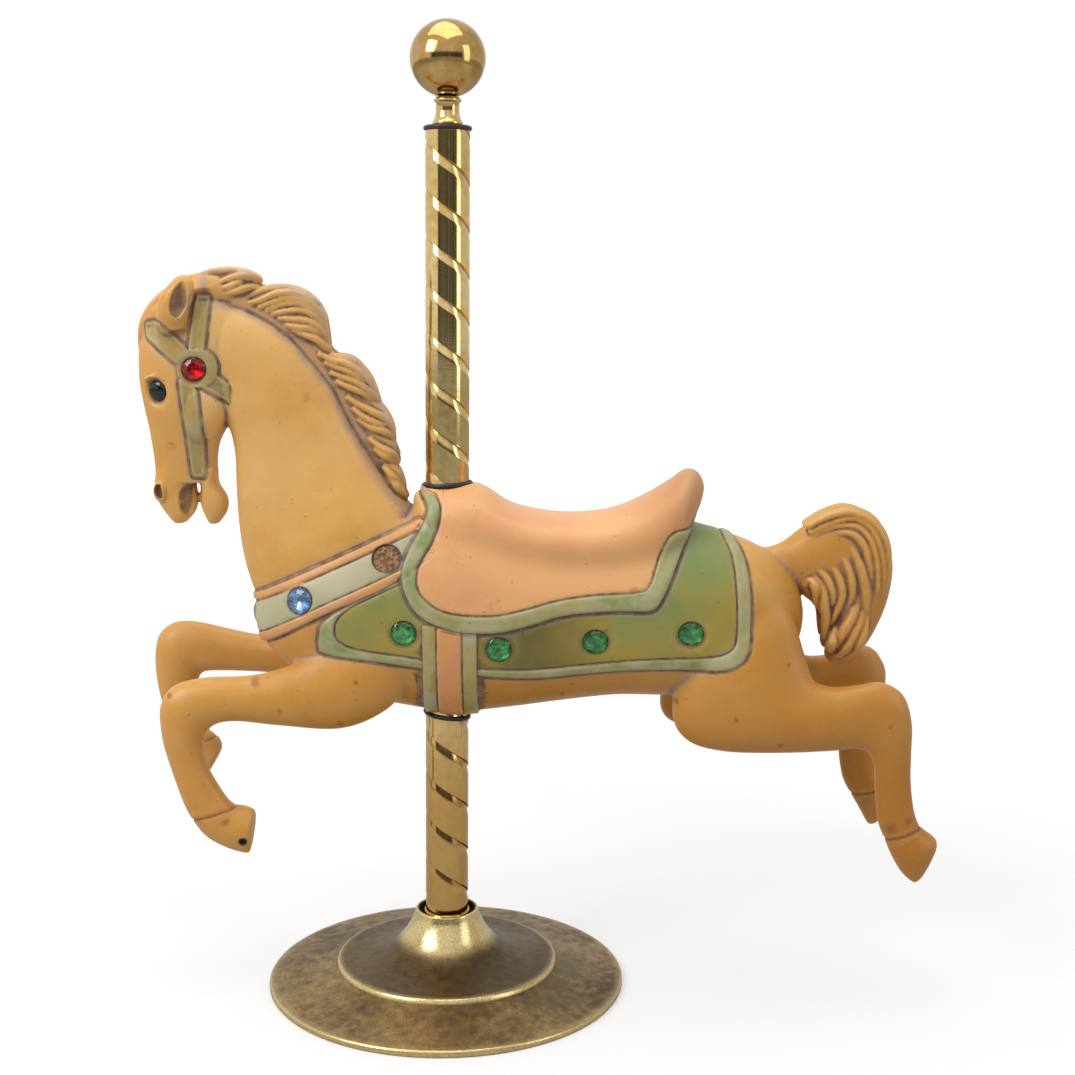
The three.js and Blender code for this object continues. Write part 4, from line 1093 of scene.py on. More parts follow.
        patchy = tree.span(tree.noise(70.0, 4.0), 0.38, 0.66)
        broad = tree.span(tree.noise(15.0, 3.0), 0.36, 0.62)
        flushed = tree.span(tree.noise(26.0, 3.0), 0.42, 0.62)
        sage = tree.blend(patchy, self.sage, self.sage_pale)
        orange = tree.blend(flushed, self.orange, self.blush)
        trim = tree.blend(broad, sage, tree.blend(patchy, self.green, self.sage_pale))
        layers = {
            "bridle": tree.blend(tree.times(patchy, 0.6), self.strap, sage),
            "collar": orange,
            "collar_band": tree.blend(broad, self.band, self.sage_pale),
            "blanket": trim,
            "blanket_field": self.blanket_green(tree, tone, broad),
            "girth": tree.blend(patchy, self.olive, self.sage_pale),
            "girth_middle": orange,
            "saddle": trim,
            "saddle_field": self.saddle_leather(tree),
        }
        for name, over in layers.items():
            colour = tree.blend(inside(name), colour, over)
        return colour

    def blanket_green(self, tree: Tree, tone: bpy.types.NodeSocket, broad: bpy.types.NodeSocket
                      ) -> bpy.types.NodeSocket:
        """Green of the blanket, olive below and along its rim, darker in the middle.

        Args:
            tree: nodes of the paint.
            tone: cloudy tone.
            broad: broad patches.

        Returns:
            The colour.
        """
        grade = tree.span(tree.axis(2), 0.262, 0.335)
        cloud = tree.plus(grade, tree.times(tree.minus(tone, 0.5), 1.6))
        cloud = tree.plus(cloud, tree.times(tree.minus(broad, 0.5), 0.7), True)
        rim = tree.span(tree.value("blanket_field"), 7.0, 0.5, 0.0, 0.35)
        colour = tree.blend(rim, tree.blend(cloud, self.olive, self.green), self.olive)
        middle = tree.math("ABSOLUTE", tree.minus(tree.axis(0), 0.062))
        murk = tree.times(tree.span(middle, 0.06, 0.01), tree.span(tone, 0.35, 0.6, 0.55, 0.95))
        return tree.blend(murk, colour, self.moss)

    def saddle_leather(self, tree: Tree) -> bpy.types.NodeSocket:
        """Orange of the saddle, flushed in places and deeper up its raised back, partly its paint and partly
        painted shade.
        """
        flush = tree.span(tree.noise(16.0, 3.0), 0.46, 0.72, 0.0, 0.5)
        # Painted shade: the raised back, where the key light falls hardest, is painted deeper.
        raised_shade = tree.times(tree.span(tree.axis(0), 0.11, 0.165), tree.span(tree.axis(2), 0.325, 0.36))
        return tree.blend(tree.times(raised_shade, 0.85), tree.blend(flush, self.saddle, self.blush), self.cantle_and_shade)

    def glaze(self, tree: Tree, colour: bpy.types.NodeSocket, smear: bpy.types.NodeSocket
              ) -> tuple[bpy.types.NodeSocket, bpy.types.NodeSocket]:
        """Dark rubbed-in glaze in grooves, along edges and round the stones, with painted shade in broad
        hollows and painted highlights on rounded places.

        Args:
            tree: nodes of the paint.
            colour: the paint under it.
            smear: how well the glaze holds.

        Returns:
            The colour, and how dark the grooves are.
        """
        def line(name: str, half: float) -> bpy.types.NodeSocket:
            """Mask of a dark line along an outline."""
            return tree.span(tree.math("ABSOLUTE", tree.value(name)), half * 1.6, half * 0.5)

        fine = tree.value("recess")
        on_saddle = tree.span(tree.value("saddle"), 0.5, 2.0)
        off_saddle = tree.minus(1.0, on_saddle)
        # Grey-lilac in broad hollows, such as under the belly and head and behind the legs, and along the
        # mane's root: partly glaze, partly painted shade. Beside the bridle it is the paint's own border.
        wide = tree.times(tree.span(tree.value("hollow"), 0.07, 0.5), smear)
        root = tree.times(tree.span(tree.value("mane"), -5.5, -1.0), tree.span(tree.value("mane"), 6.0, 0.0))
        grey_glaze_and_shade = tree.most(tree.times(wide, 0.65), tree.times(tree.times(root, smear), 0.8))
        border = tree.math("ABSOLUTE", tree.plus(tree.value("bridle"), 1.6))
        beside = tree.times(tree.span(border, 2.4, 0.6), tree.times(smear, 0.6))
        grey_glaze_and_shade = tree.times(tree.most(grey_glaze_and_shade, beside), tree.span(on_saddle, 0.0, 1.0, 1.0, 0.25))
        colour = tree.blend(grey_glaze_and_shade, colour, self.lilac)
        off_girth = tree.span(tree.value("girth"), 0.6, -0.2)
        below = tree.times(tree.most(line("blanket_field", 0.45), line("blanket", 0.5)), off_girth)
        below = tree.most(below, line("collar_band", 0.4), line("girth_middle", 0.4), line("collar", 0.5),
                          line("girth", 0.5))
        lines = tree.most(tree.times(below, off_saddle), line("saddle", 0.6), line("saddle_field", 0.5),
                          line("bridle", 0.45))
        colour = tree.blend(tree.times(tree.times(lines, smear), 0.85), colour, self.line)
        dark = tree.times(tree.span(fine, 0.02, 0.13), smear)
        in_mane = tree.span(tree.value("mane"), -2.0, 1.0)
        groove = tree.blend(tree.times(in_mane, smear), self.recess, self.line)
        colour = tree.blend(tree.times(dark, 0.85), colour, groove)
        residue = tree.blend(tree.span(tree.noise(340.0, 4.0), 0.42, 0.58), self.residue, self.recess)
        colour = tree.blend(tree.span(tree.value("seat"), -0.4, -0.9), colour, residue)
        seats = tree.times(tree.span(tree.math("ABSOLUTE", tree.value("seat")), 1.1, 0.3), 0.85)
        colour = tree.blend(seats, colour, self.line)
        # Rounded places made paler: partly rubbed wear, partly painted highlight.
        rubbed_and_highlight = tree.times(tree.span(fine, -0.03, -0.14), tree.span(in_mane, 0.0, 1.0, 0.35, 0.2))
        names = ("bridle", "blanket", "saddle", "collar", "girth")
        trapping = tree.span(tree.most(*(tree.value(name) for name in names)), -0.8, 0.4)
        return tree.blend(rubbed_and_highlight, colour, tree.blend(trapping, self.coat_pale, self.sage_pale)), dark

    def stains(self, tree: Tree) -> bpy.types.NodeSocket:
        """Brown stains where the photograph shows them, on the horse's left side."""
        waver = tree.times(tree.minus(tree.noise(130.0, 4.0), 0.5), 0.006)
        result = 0.0
        for (x, z), size in STAINS:
            spot = side_view([(x, z)])[0] * MM
            across = tree.minus(tree.axis(0), float(spot[0]))
            up = tree.minus(tree.axis(2), float(spot[1]))
            square = tree.plus(tree.times(across, across), tree.times(up, up))
            gap = tree.plus(tree.math("SQRT", square), waver)
            result = tree.most(result, tree.span(gap, size * MM, size * MM * 0.3))
        return tree.times(result, tree.span(tree.axis(1), 0.0, -0.01))


@dataclass(frozen=True)
class Brass:
    """Brass with polish, tarnish and wear, and a painted reflection: darker amber low down."""

    name: str
    bright: tuple = paint(236, 212, 150)
    dull: tuple = paint(214, 178, 108)
    tarnish: tuple = paint(96, 70, 36)
    amber_reflection: tuple = paint(196, 150, 82)
    roughness: float = 0.07
    rough_patches: float = 0.05
    tarnish_share: float = 0.08
    pitted: float = 0.03

    def build(self, effects: Effects) -> bpy.types.Material:
        """Makes the metal.

        Args:
            effects: shared node groups.

        Returns:
            The finished material.
        """
        material, tree, shader = new_material(self.name)
        tone = tree.effect(effects.mottle, broad=14.0, fine=190.0, fine_share=0.5)
        patch = tree.span(tone, 0.4, 0.62)
        colour = tree.blend(patch, self.bright, self.dull)
        # Painted reflection: darker amber low down, for the stand and the horse mirrored in the brass.
        colour = tree.blend(tree.span(tree.axis(2), 0.23, 0.14, 0.0, 0.8), colour, self.amber_reflection)
        recess = tree.span(tree.value("recess"), 0.1, 1.0)
        fine = tree.noise(520.0, 3.0)
        stain = tree.times(tree.span(tree.noise(60.0, 5.0), 0.46, 0.7), self.tarnish_share)
        stain = tree.plus(stain, tree.times(recess, 0.55), True)
        stain = tree.times(stain, tree.span(fine, 0.25, 0.6, 0.5, 1.0))
        colour = tree.blend(stain, colour, self.tarnish)
        dots = tree.effect(effects.specks, scale=260.0, size=0.2, amount=self.pitted)
        colour = tree.blend(tree.times(dots, 0.8), colour, self.tarnish)
        tree.feed(shader.inputs["Base Color"], colour)
        shader.inputs["Metallic"].default_value = 1.0
        rough = tree.times(patch, self.rough_patches)
        rough = tree.plus(rough, tree.times(stain, 0.3))
        tree.feed(shader.inputs["Roughness"], tree.plus(rough, self.roughness))
        marks = tree.effect(effects.brushing, fineness=900.0)
        grain = tree.plus(tree.times(marks, 0.4), tree.times(fine, self.pitted * 8))
        tree.feed(shader.inputs["Normal"], tree.bump(grain, 0.12, 0.0002))
        return material


@dataclass(frozen=True)
class StandBrass:
    """Antique cast brass of the stand, brown and olive, worn bright at its edges, with a painted highlight
    up its neck.
    """

    gold: tuple = paint(184, 154, 98)
    olive: tuple = paint(112, 100, 66)
    brown: tuple = paint(94, 74, 50)
    shade: tuple = paint(62, 53, 38)
    bright: tuple = paint(250, 224, 160)

    def build(self, effects: Effects) -> bpy.types.Material:
        """Makes the metal.

        Args:
            effects: shared node groups.

        Returns:
            The finished material.
        """
        material, tree, shader = new_material("antique stand brass")
        cloud = tree.effect(effects.mottle, broad=11.0, fine=140.0, fine_share=0.45)
        grain = tree.noise(900.0, 3.0)
        colour = tree.blend(tree.span(cloud, 0.36, 0.62), self.gold, self.brown)
        colour = tree.blend(tree.span(tree.noise(17.0, 4.0), 0.5, 0.7, 0.0, 0.8), colour, self.olive)
        colour = tree.blend(tree.span(grain, 0.42, 0.62, 0.0, 0.5), colour, self.brown)
        square = tree.plus(tree.math("POWER", tree.axis(0), 2.0), tree.math("POWER", tree.axis(1), 2.0))
        across = tree.math("SQRT", square)
        tier = tree.times(tree.span(across, 0.084, 0.078), tree.span(cloud, 0.3, 0.7, 0.75, 0.45))
        colour = tree.blend(tier, colour, self.shade)
        # Bright where worn at the edges, and a painted highlight over the upper neck.
        wear_and_sheen = tree.value("wear_and_sheen")
        rub_and_sheen = tree.times(wear_and_sheen, tree.span(grain, 0.3, 0.6, 1.0, 0.6))
        colour = tree.blend(rub_and_sheen, colour, self.bright)
        dots = tree.effect(effects.specks, scale=210.0, size=0.22, amount=0.1)
        colour = tree.blend(tree.times(dots, 0.6), colour, self.brown)
        tree.feed(shader.inputs["Base Color"], colour)
        tree.feed(shader.inputs["Metallic"], tree.span(grain, 0.3, 0.7, 1.0, 0.85))
        rough = tree.span(cloud, 0.3, 0.7, 0.36, 0.52)
        tree.feed(shader.inputs["Roughness"], tree.minus(rough, tree.times(wear_and_sheen, 0.26)))
        tree.feed(shader.inputs["Normal"], tree.bump(grain, 0.35, 0.0003))
        return material


@dataclass(frozen=True)
class Rubber:
    """Dull rubber of the gaskets."""

    name: str
    dark: tuple = paint(30, 27, 27)
    dusty: tuple = paint(70, 66, 66)

    def build(self, effects: Effects) -> bpy.types.Material:
        """Makes the rubber."""
        material, tree, shader = new_material(self.name)
        dust = tree.span(tree.noise(150.0, 4.0), 0.5, 0.75, 0.0, 0.6)
        colour = tree.blend(dust, self.dark, self.dusty)
        dots = tree.effect(effects.specks, scale=400.0, size=0.2, amount=0.1)
        tree.feed(shader.inputs["Base Color"], tree.blend(dots, colour, self.dusty))
        tree.feed(shader.inputs["Roughness"], tree.span(dust, 0.0, 0.6, 0.42, 0.66))
        tree.feed(shader.inputs["Normal"], tree.bump(tree.noise(700.0, 3.0), 0.25, 0.0002))
        return material


@dataclass(frozen=True)
class CutGlass:
    """Coloured glass of a set stone with its foil behind."""

    name: str
    glass: tuple
    foil: tuple
    clear: bool = True

    def build(self, effects: Effects) -> tuple[bpy.types.Material, bpy.types.Material]:
        """Makes the glass and the foil.

        Args:
            effects: shared node groups.

        Returns:
            Material of the front and of the back.
        """
        front, tree, shader = new_material(self.name + " glass")
        tone = tree.span(tree.noise(240.0, 3.0), 0.3, 0.7)
        dim = tuple(channel * 0.8 for channel in self.glass[:3]) + (1.0,)
        scratches = tree.effect(effects.cracks, scale=420.0, width=0.02)
        tree.feed(shader.inputs["Base Color"], tree.blend(tone, self.glass, dim))
        tree.feed(shader.inputs["Roughness"], tree.span(scratches, 0.0, 1.0, 0.02, 0.2))
        shader.inputs["IOR"].default_value = 1.54
        shader.inputs["Transmission Weight"].default_value = 1.0 if self.clear else 0.0
        tree.feed(shader.inputs["Normal"], tree.bump(tree.noise(300.0, 2.0), 0.05, 0.0002))
        back, tree, shader = new_material(self.name + " foil")
        crinkle = tree.cells(290.0)
        shade = tree.cell_number(crinkle)
        deep = tuple(channel * 0.3 for channel in self.foil[:3]) + (1.0,)
        tree.feed(shader.inputs["Base Color"], tree.blend(shade, self.foil, deep))
        shader.inputs["Metallic"].default_value = 0.8
        tree.feed(shader.inputs["Roughness"], tree.span(tree.noise(500.0, 2.0), 0.3, 0.7, 0.12, 0.3))
        tree.feed(shader.inputs["Normal"], tree.bump(shade, 0.5, 0.0004))
        return front, back


@dataclass
class Seat:
    """Round seat in the horse's surface: its middle, the way it faces and its radius."""

    middle: np.ndarray
    axis: np.ndarray
    radius: float

    def ring(self, radius: float, level: float, points: int, turn: float = 0.0) -> np.ndarray:
        """Ring of points round the seat's axis.

        Args:
            radius: millimetres.
            level: millimetres out of the surface.
            points: how many.
            turn: radians by which the ring is turned.

        Returns:
            The points.
        """
        first = np.cross(self.axis, (0.0, 0.0, 1.0))
        first /= np.linalg.norm(first)
        angle = round_angles(points)[:, None] + turn
        across = np.cos(angle) * first + np.sin(angle) * np.cross(self.axis, first)
        return self.middle + across * radius + self.axis * level

    def hole(self, clearance: float, depth: float, reach: float = 12.0) -> tuple[np.ndarray, np.ndarray]:
        """Round cutter for the seat."""
        radius = self.radius + clearance
        return skin(np.stack([self.ring(radius, -depth, 48), self.ring(radius, reach, 48)]))

    def measure(self, points: np.ndarray) -> tuple[np.ndarray, np.ndarray]:
        """Height of each point above the seat, and its distance from the seat's axis."""
        gap = points - self.middle
        level = gap @ self.axis
        return level, np.linalg.norm(gap - level[:, None] * self.axis, axis=1)


@dataclass
class Stone:
    """One set stone, taken from its CAD node."""

    node: str
    finish: Finish
    seat: Seat = field(init=False)
    rise: float = field(init=False)
    sink: float = field(init=False)
    cut_sides: int = 16
    eye_sides: int = 48

    def __post_init__(self) -> None:
        """Reads the stone's seat and size from the frame."""
        points = node_points(self.node)
        middle = points.mean(0)
        axis = np.linalg.svd(points - middle)[2][2]
        side = np.array([0.0, np.sign(middle[1]), 0.0])
        out = np.array([-1.0, 0.0, 0.0]) if "front" in self.node else side
        axis = axis if axis @ out > 0 else -axis
        along = points @ axis
        back = points[along < along.min() + 0.4].mean(0)
        radius = float(np.linalg.norm(np.cross(points - back, axis), axis=1).max())
        self.sink = float(np.unique(np.round(along - along.min(), 1))[1])
        self.rise = float(along.max() - along.min()) - self.sink
        self.seat = Seat(back + axis * self.sink, axis, radius)

    def build(self, materials: tuple[bpy.types.Material, bpy.types.Material]) -> bpy.types.Object:
        """Makes the stone.

        Args:
            materials: front glass and back foil.

        Returns:
            The finished piece, in place of its CAD node.
        """
        seat, count = self.seat, self.cut_sides
        half = math.pi / count
        if self.finish is Finish.EYE:
            levels = [(1.0, -self.sink, 0.0), (1.0, 0.1, 0.0)]
            levels += [(math.cos(a), 0.1 + (self.rise - 0.1) * math.sin(a), 0.0)
                       for a in np.linspace(0.15, 1.45, 9)]
            count = self.eye_sides
        else:
            levels = [(0.96, -0.5, 0.0), (1.0, 0.0, 0.0), (1.0, 0.3, 0.0),
                      (0.84, self.rise * 0.52, half), (0.52, self.rise * 0.92, 0.0)]
        rings = np.stack([seat.ring(seat.radius * share, level, count, turn)
                          for share, level, turn in levels])
        points, triangles = skin(rings)
        first = count * len(levels)
        points[first] = seat.middle - seat.axis * (self.sink - 0.1)
        points[first + 1] = seat.middle + seat.axis * (self.rise - 0.02)
        piece = mesh_object("stone_" + self.node, [(points, triangles)])
        for material in materials:
            piece.data.materials.append(material)
        behind = (triangles == first).any(1)
        piece.data.polygons.foreach_set("material_index", behind.astype(np.int32))
        if self.finish is Finish.EYE:
            polish_shading(piece, 40)
        piece.data.update()
        settle(piece, self.finish, self.node)
        return piece


def settle(piece: bpy.types.Object, finish: Finish, *nodes: str) -> None:
    """Puts a piece into the frame.

    Args:
        piece: the finished piece.
        finish: the record's slot that it belongs to; not used.
        nodes: CAD nodes that it replaces.
    """
    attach(piece, BODY)
    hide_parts(*nodes)
    LOG.info("%s: %d faces", piece.name, len(piece.data.polygons))


def finish_piece(piece: bpy.types.Object, material: bpy.types.Material, crease_degrees: float,
                 finish: Finish, node: str) -> bpy.types.Object:
    """Gives a piece its material and shading and puts it in place of its CAD node.

    Args:
        piece: the piece.
        material: its only material.
        crease_degrees: edges sharper than this stay crisp.
        finish: the record's slot that it belongs to.
        node: CAD node that it replaces.

    Returns:
        The same piece.
    """
    piece.data.materials.append(material)
    polish_shading(piece, crease_degrees)
    settle(piece, finish, node)
    return piece


@dataclass
class CarvedHorse:
    """The horse, carved with its mane, tail and trappings in one piece."""

    stones: list[Stone]
    voxel: float = 0.98
    quick_voxel: float = 2.0
    quick_share: float = 0.25
    first_rounds: int = 3
    body_rounds: int = 46
    seat_rounds: int = 420
    crease_degrees: float = 58.0
    most_triangles: int = 196000
    blanket_rise: float = 1.1
    blanket_trim: float = 0.8
    saddle_rise: float = 2.6
    saddle_trim: float = 1.0
    collar_rise: float = 1.5
    girth_rise: float = 2.5
    bridle_rise: float = 1.1
    rosette_rise: float = 1.7
    groove_depth: float = 0.55
    mane_lock_depth: float = 3.9
    tail_lock_depth: float = 5.2
    hair_gain: float = 0.7
    pole_clearance: float = 0.3
    gasket_clearance: float = 0.3
    stone_clearance: float = 0.25
    socket_radius: float = 10.25
    socket_depth: float = 2.2
    hoof_hole_radius: float = 2.75
    hoof_hole_depth: float = 4.0

    def shells(self) -> list[tuple[np.ndarray, np.ndarray]]:
        """Every rounded form of the horse, before they grow together."""
        rings = [
            limb_rings(TORSO, 72, 2.5, fullness=2.15), limb_rings(NECK, 64, 2.5, fullness=2.4),
            limb_rings(HEAD, 56, 2.0, fullness=2.2), limb_rings(UPPER_LIP, 48, 1.5, fullness=2.2),
            limb_rings(LOWER_LIP, 48, 1.5, fullness=2.2), limb_rings(CHEEK, 56, 1.5),
            limb_rings(SEAT, 64, 2.0, fullness=2.2), limb_rings(FORELOCK, 48, 2.0, grow=-1.6),
            limb_rings(TAIL, 48, 2.0, grow=-2.2),
        ]
        rings += [limb_rings(table, 40, 2.0)
                  for table in (NEAR_FORE_LEG, FAR_FORE_LEG, NEAR_HIND_LEG, FAR_HIND_LEG)]
        rings += paired(limb_rings(EAR, 40, 1.2))
        for side in (-1, 1):
            rings.append(ball_rings((-364, side * 17.0, 433), (9.0, 4.5, 5.0)))
            rings.append(ball_rings((-362, side * 17.5, 420), (6.5, 4.0, 6.0)))
            rings.append(ball_rings((-364, side * 10.0, 293), (5.5, 6.0, 8.0)))
            rings.append(ball_rings((-380, side * 40.0, 55), (9.6, 12.0, 12.5)) if side > 0
                         else ball_rings((-333, side * 40.0, 28), (14.0, 12.5, 13.0)))
        rings.append(self.mane_core())
        rings += self.mane_locks() + self.tail_locks() + self.forelock_locks()
        return [skin(ring) for ring in rings]

    def mane_core(self) -> np.ndarray:
        """Solid part of the mane under its locks."""
        places = np.linspace(0, 1, 24)
        last = len(MANE_ROOT) - 1
        root = curve(MANE_ROOT, places * 0.93 * last)
        edge = curve(MANE_EDGE, (0.06 + places * 0.93) * last)
        out = edge - root
        wide = np.interp(places, [0, 0.08, 0.9, 1], [13, 17, 15, 9])
        table = np.column_stack([root + out * 0.84, root - out * 0.5, np.zeros(24), wide])
        return limb_rings([tuple(row) for row in table], 40, 2.0)

    def mane_locks(self) -> list[np.ndarray]:
        """Rings of each lock of the mane, on both sides."""
        rings = []
        for index, path in enumerate(MANE_LOCKS):
            outer = index in MANE_EDGE_LOCKS
            ys = (-6.5, -6.0, -2.6) if outer else (-8.6, -9.8, -4.2)
            width = 3.3 if outer else 3.0
            rings += paired(lock_rings(path, ys, width, self.mane_lock_depth))
        return rings

    def tail_locks(self) -> list[np.ndarray]:
        """Rings of each lock of the tail, on both sides."""
        rings = []
        for index, path in enumerate(TAIL_LOCKS):
            width = 4.6 if index in (4, 10, 11) else 3.9
            rings += paired(lock_rings(path, (-9.5, -14.0, -8.5), width, self.tail_lock_depth))
        rings.append(lock_rings(TAIL_LOCKS[0], (0.0, 0.0, 0.0), 4.2, 7.0))
        rings.append(lock_rings(TAIL_LOCKS[4], (0.0, 0.0, 0.0), 4.2, 9.0))
        return rings

    def forelock_locks(self) -> list[np.ndarray]:
        """Rings of each lock over the forehead, on both sides."""
        rings = []
        for index, path in enumerate(FORELOCK_LOCKS):
            side = -2.5 - 4.5 * index
            rings += paired(lock_rings(path, (side - 1, side - 1.5, side), 2.6, 3.0))
        return rings

    def soft_cutters(self) -> list[tuple[np.ndarray, np.ndarray]]:
        """Hollows of the ears, nostrils and mouth."""
        shells = []
        for table in (EAR_HOLLOW, NOSTRIL):
            shells += [skin(rings) for rings in paired(limb_rings(table, 32, 1.5))]
        outline = rounded(side_view(MOUTH_HOLLOW), 2)
        for side in (-1, 1):
            levels = [5.0 * side, 60.0 * side]
            rings = np.stack([np.column_stack([outline[:, 0], np.full(len(outline), level), outline[:, 1]])
                              for level in levels])
            shells.append(skin(rings))
        return shells

    def distances(self, points: np.ndarray) -> dict[str, np.ndarray]:
        """Distance of each point from every painted outline, in side view.

        Args:
            points: x y z in millimetres.

        Returns:
            Distances by outline name, positive inside.
        """
        flat = points[:, [0, 2]]
        result = {}
        named = {"blanket": BLANKET, "blanket_field": BLANKET_FIELD, "saddle": SADDLE,
                 "saddle_field": SADDLE_FIELD, "collar": COLLAR, "collar_band": COLLAR_BAND}
        for name, outline in named.items():
            result[name] = signed_distance(flat, rounded(side_view(outline)))
        result["girth"] = signed_distance(flat, side_view(GIRTH))
        result["girth_middle"] = signed_distance(flat, side_view(GIRTH_MIDDLE))
        turn = round_angles(32)
        plate = np.column_stack([np.cos(turn), np.sin(turn)]) * PLATE_RADIUS + np.array(PLATE_AT)
        result["rosette"] = signed_distance(flat, side_view(plate))
        parts = [signed_distance(flat, rounded(side_view(part), 2, 0.1)) for part in BRIDLE_PARTS]
        result["bridle"] = np.maximum.reduce([result["rosette"], *parts])
        result["coronet"] = np.full(len(points), REACH)
        for start, end, side in CORONETS:
            gap = segment_gap(flat, *side_view([start, end]))
            gap = np.where(points[:, 1] * side > 0, gap, REACH)
            result["coronet"] = np.minimum(result["coronet"], gap)
        result["mane"] = mane_distance(points)
        return self.gated(points, result)

    def gated(self, points: np.ndarray, found: dict[str, np.ndarray]) -> dict[str, np.ndarray]:
        """Keeps each outline to the part of the horse that it lies on.

        Args:
            points: x y z in millimetres.
            found: distances by name.

        Returns:
            The distances, far outside where an outline doesn't apply.
        """
        x, z = table_place(points)
        under_chest = (x < -200) & (z < 96)
        chest = (x < -200) & (z < (x + 290) * 0.47 + 180)
        neck = (x > -272) | ((z < 400) & (x > -286))
        shut = {"collar": under_chest, "collar_band": under_chest, "bridle": neck | chest, "rosette": neck}
        for name, closed in shut.items():
            found[name] = np.where(closed, -REACH, found[name])
        return found

    def relief(self, found: dict[str, np.ndarray]) -> np.ndarray:
        """Height of the carved trappings above the horse.

        Args:
            found: distances by outline name.

        Returns:
            Millimetres for each point.
        """
        def step(name: str, width: float = 0.9) -> np.ndarray:
            """Rise from 0 outside an outline to 1 inside it."""
            return ease(found[name], -width, width)

        def groove(name: str, at: float = 0.0, half: float = 1.0) -> np.ndarray:
            """Soft line that follows an outline at a distance."""
            return np.exp(-(((found[name] - at) / half) ** 2))

        blanket = step("blanket") * self.blanket_rise
        trim = ease(found["blanket"], 0.2, 2.5) * ease(-found["blanket_field"], 0.2, 2.0)
        blanket += trim * self.blanket_trim - groove("blanket_field") * self.groove_depth * step("blanket")
        saddle = step("saddle", 1.1) * self.saddle_rise
        trim = ease(found["saddle"], 0.0, 3.0) * ease(-found["saddle_field"], 0.0, 2.6)
        saddle += trim * self.saddle_trim - groove("saddle_field") * self.groove_depth * step("saddle")
        collar = step("collar") * self.collar_rise
        strip = ease(found["collar"], 0.2, 2.0) * ease(-found["collar_band"], 0.2, 1.6)
        collar += strip * 0.7 - groove("collar_band", 0.0, 0.8) * self.groove_depth * step("collar")
        girth = step("girth") * self.girth_rise
        panel = ease(found["girth_middle"], 0.0, 2.0)
        girth += panel * 0.5 - groove("girth_middle", 0.0, 0.8) * self.groove_depth * step("girth")
        bridle = step("bridle", 0.7) * self.bridle_rise
        bridle += ease(found["bridle"], 0.4, 1.4) * ease(-found["bridle"], -3.0, -1.8) * 0.35
        rosette = step("rosette", 0.8) * self.rosette_rise
        height = np.maximum.reduce([blanket, saddle, collar, girth, bridle, rosette])
        around = groove("saddle", -1.6, 1.0) * (found["saddle"] < 0) * 0.5
        around += groove("bridle", -1.3, 0.8) * (found["bridle"] < 0) * 0.5
        around += groove("collar", -1.5, 0.9) * (found["collar"] < 0) * 0.4
        around += groove("blanket", -1.5, 0.9) * (found["blanket"] < 0) * (found["girth"] < 0) * 0.35
        return height - around - 0.75 * np.exp(-((found["coronet"] / 1.1) ** 2))

    def body_share(self, points: np.ndarray) -> np.ndarray:
        """How smooth each point may be made: 1 on the body, less on head, hair and lips."""
        x, z = table_place(points)
        share = np.ones(len(points))
        share *= 1 - ease(mane_distance(points), -5.0, 0.0)
        share *= 1 - ease(x, 436, 462) * ease(z, 62, 74)
        head = ease(-x, 262, 282) * ease(z, 230, 250)
        return share * (1 - head * 0.93)

    def hair_share(self, points: np.ndarray) -> np.ndarray:
        """Where the mane, the forelock and the tail are."""
        x, z = table_place(points)
        tail = ease(x, 446, 466) * ease(z, 62, 74)
        forelock = ease(-x, 318, 330) * ease(z, 492, 504) * ease(x, -400, -392)
        return np.maximum.reduce([ease(mane_distance(points), -3.0, 0.5), tail, forelock])

    def deepen_hair(self, fairing: Fairing, mesh: bpy.types.Mesh, points: np.ndarray) -> np.ndarray:
        """Cuts the grooves between the locks of hair deeper.

        Args:
            fairing: neighbour averaging of the mesh.
            mesh: the horse's mesh.
            points: x y z of its vertices.

        Returns:
            The changed points.
        """
        move_vertices(mesh, points)
        out = normals(mesh)
        groove = ((fairing.smooth(points, 14) - points) * out).sum(1)
        cut = np.clip(groove, -0.35, 1.1) * self.hair_gain * self.hair_share(points)
        return points - out * fairing.smooth(cut, 1)[:, None]

    def seat_share(self, points: np.ndarray) -> np.ndarray:
        """How much each point belongs to the flanks of the saddle, where its forms run together."""
        x, z = table_place(points)
        wide = ease(np.abs(points[:, 1]), 12.0, 24.0)
        return ease(x, -36, 0) * (1 - ease(x, 250, 300)) * ease(z, 180, 215) * wide

    def seat_points(self, mesh: bpy.types.Mesh, at: tuple[float, float], radius: float) -> Seat:
        """Seat of an empty hole on the horse's left side.

        Args:
            mesh: the horse's mesh.
            at: x and z in thousandths of the horse.
            radius: radius of the hole.

        Returns:
            The seat.
        """
        points, out = coordinates(mesh), normals(mesh)
        target = side_view([at])[0]
        near = (np.abs(points[:, [0, 2]] - target) < 3.0).all(1)
        outermost = points[near, 1].min()
        near &= points[:, 1] < outermost + 4.0
        middle = points[near].mean(0)
        middle[[0, 2]] = target
        axis = out[near].mean(0)
        return Seat(middle, axis / np.linalg.norm(axis), radius)

    def flatten_seats(self, points: np.ndarray) -> np.ndarray:
        """Presses the surface round each stone to the stone's own level.

        Args:
            points: x y z of the horse.

        Returns:
            The changed points.
        """
        for seat in (stone.seat for stone in self.stones):
            level, across = seat.measure(points)
            share = (1 - ease(across, seat.radius + 0.8, seat.radius + 5.0)) * (np.abs(level) < 7)
            points = points - (level * share)[:, None] * seat.axis
        return points

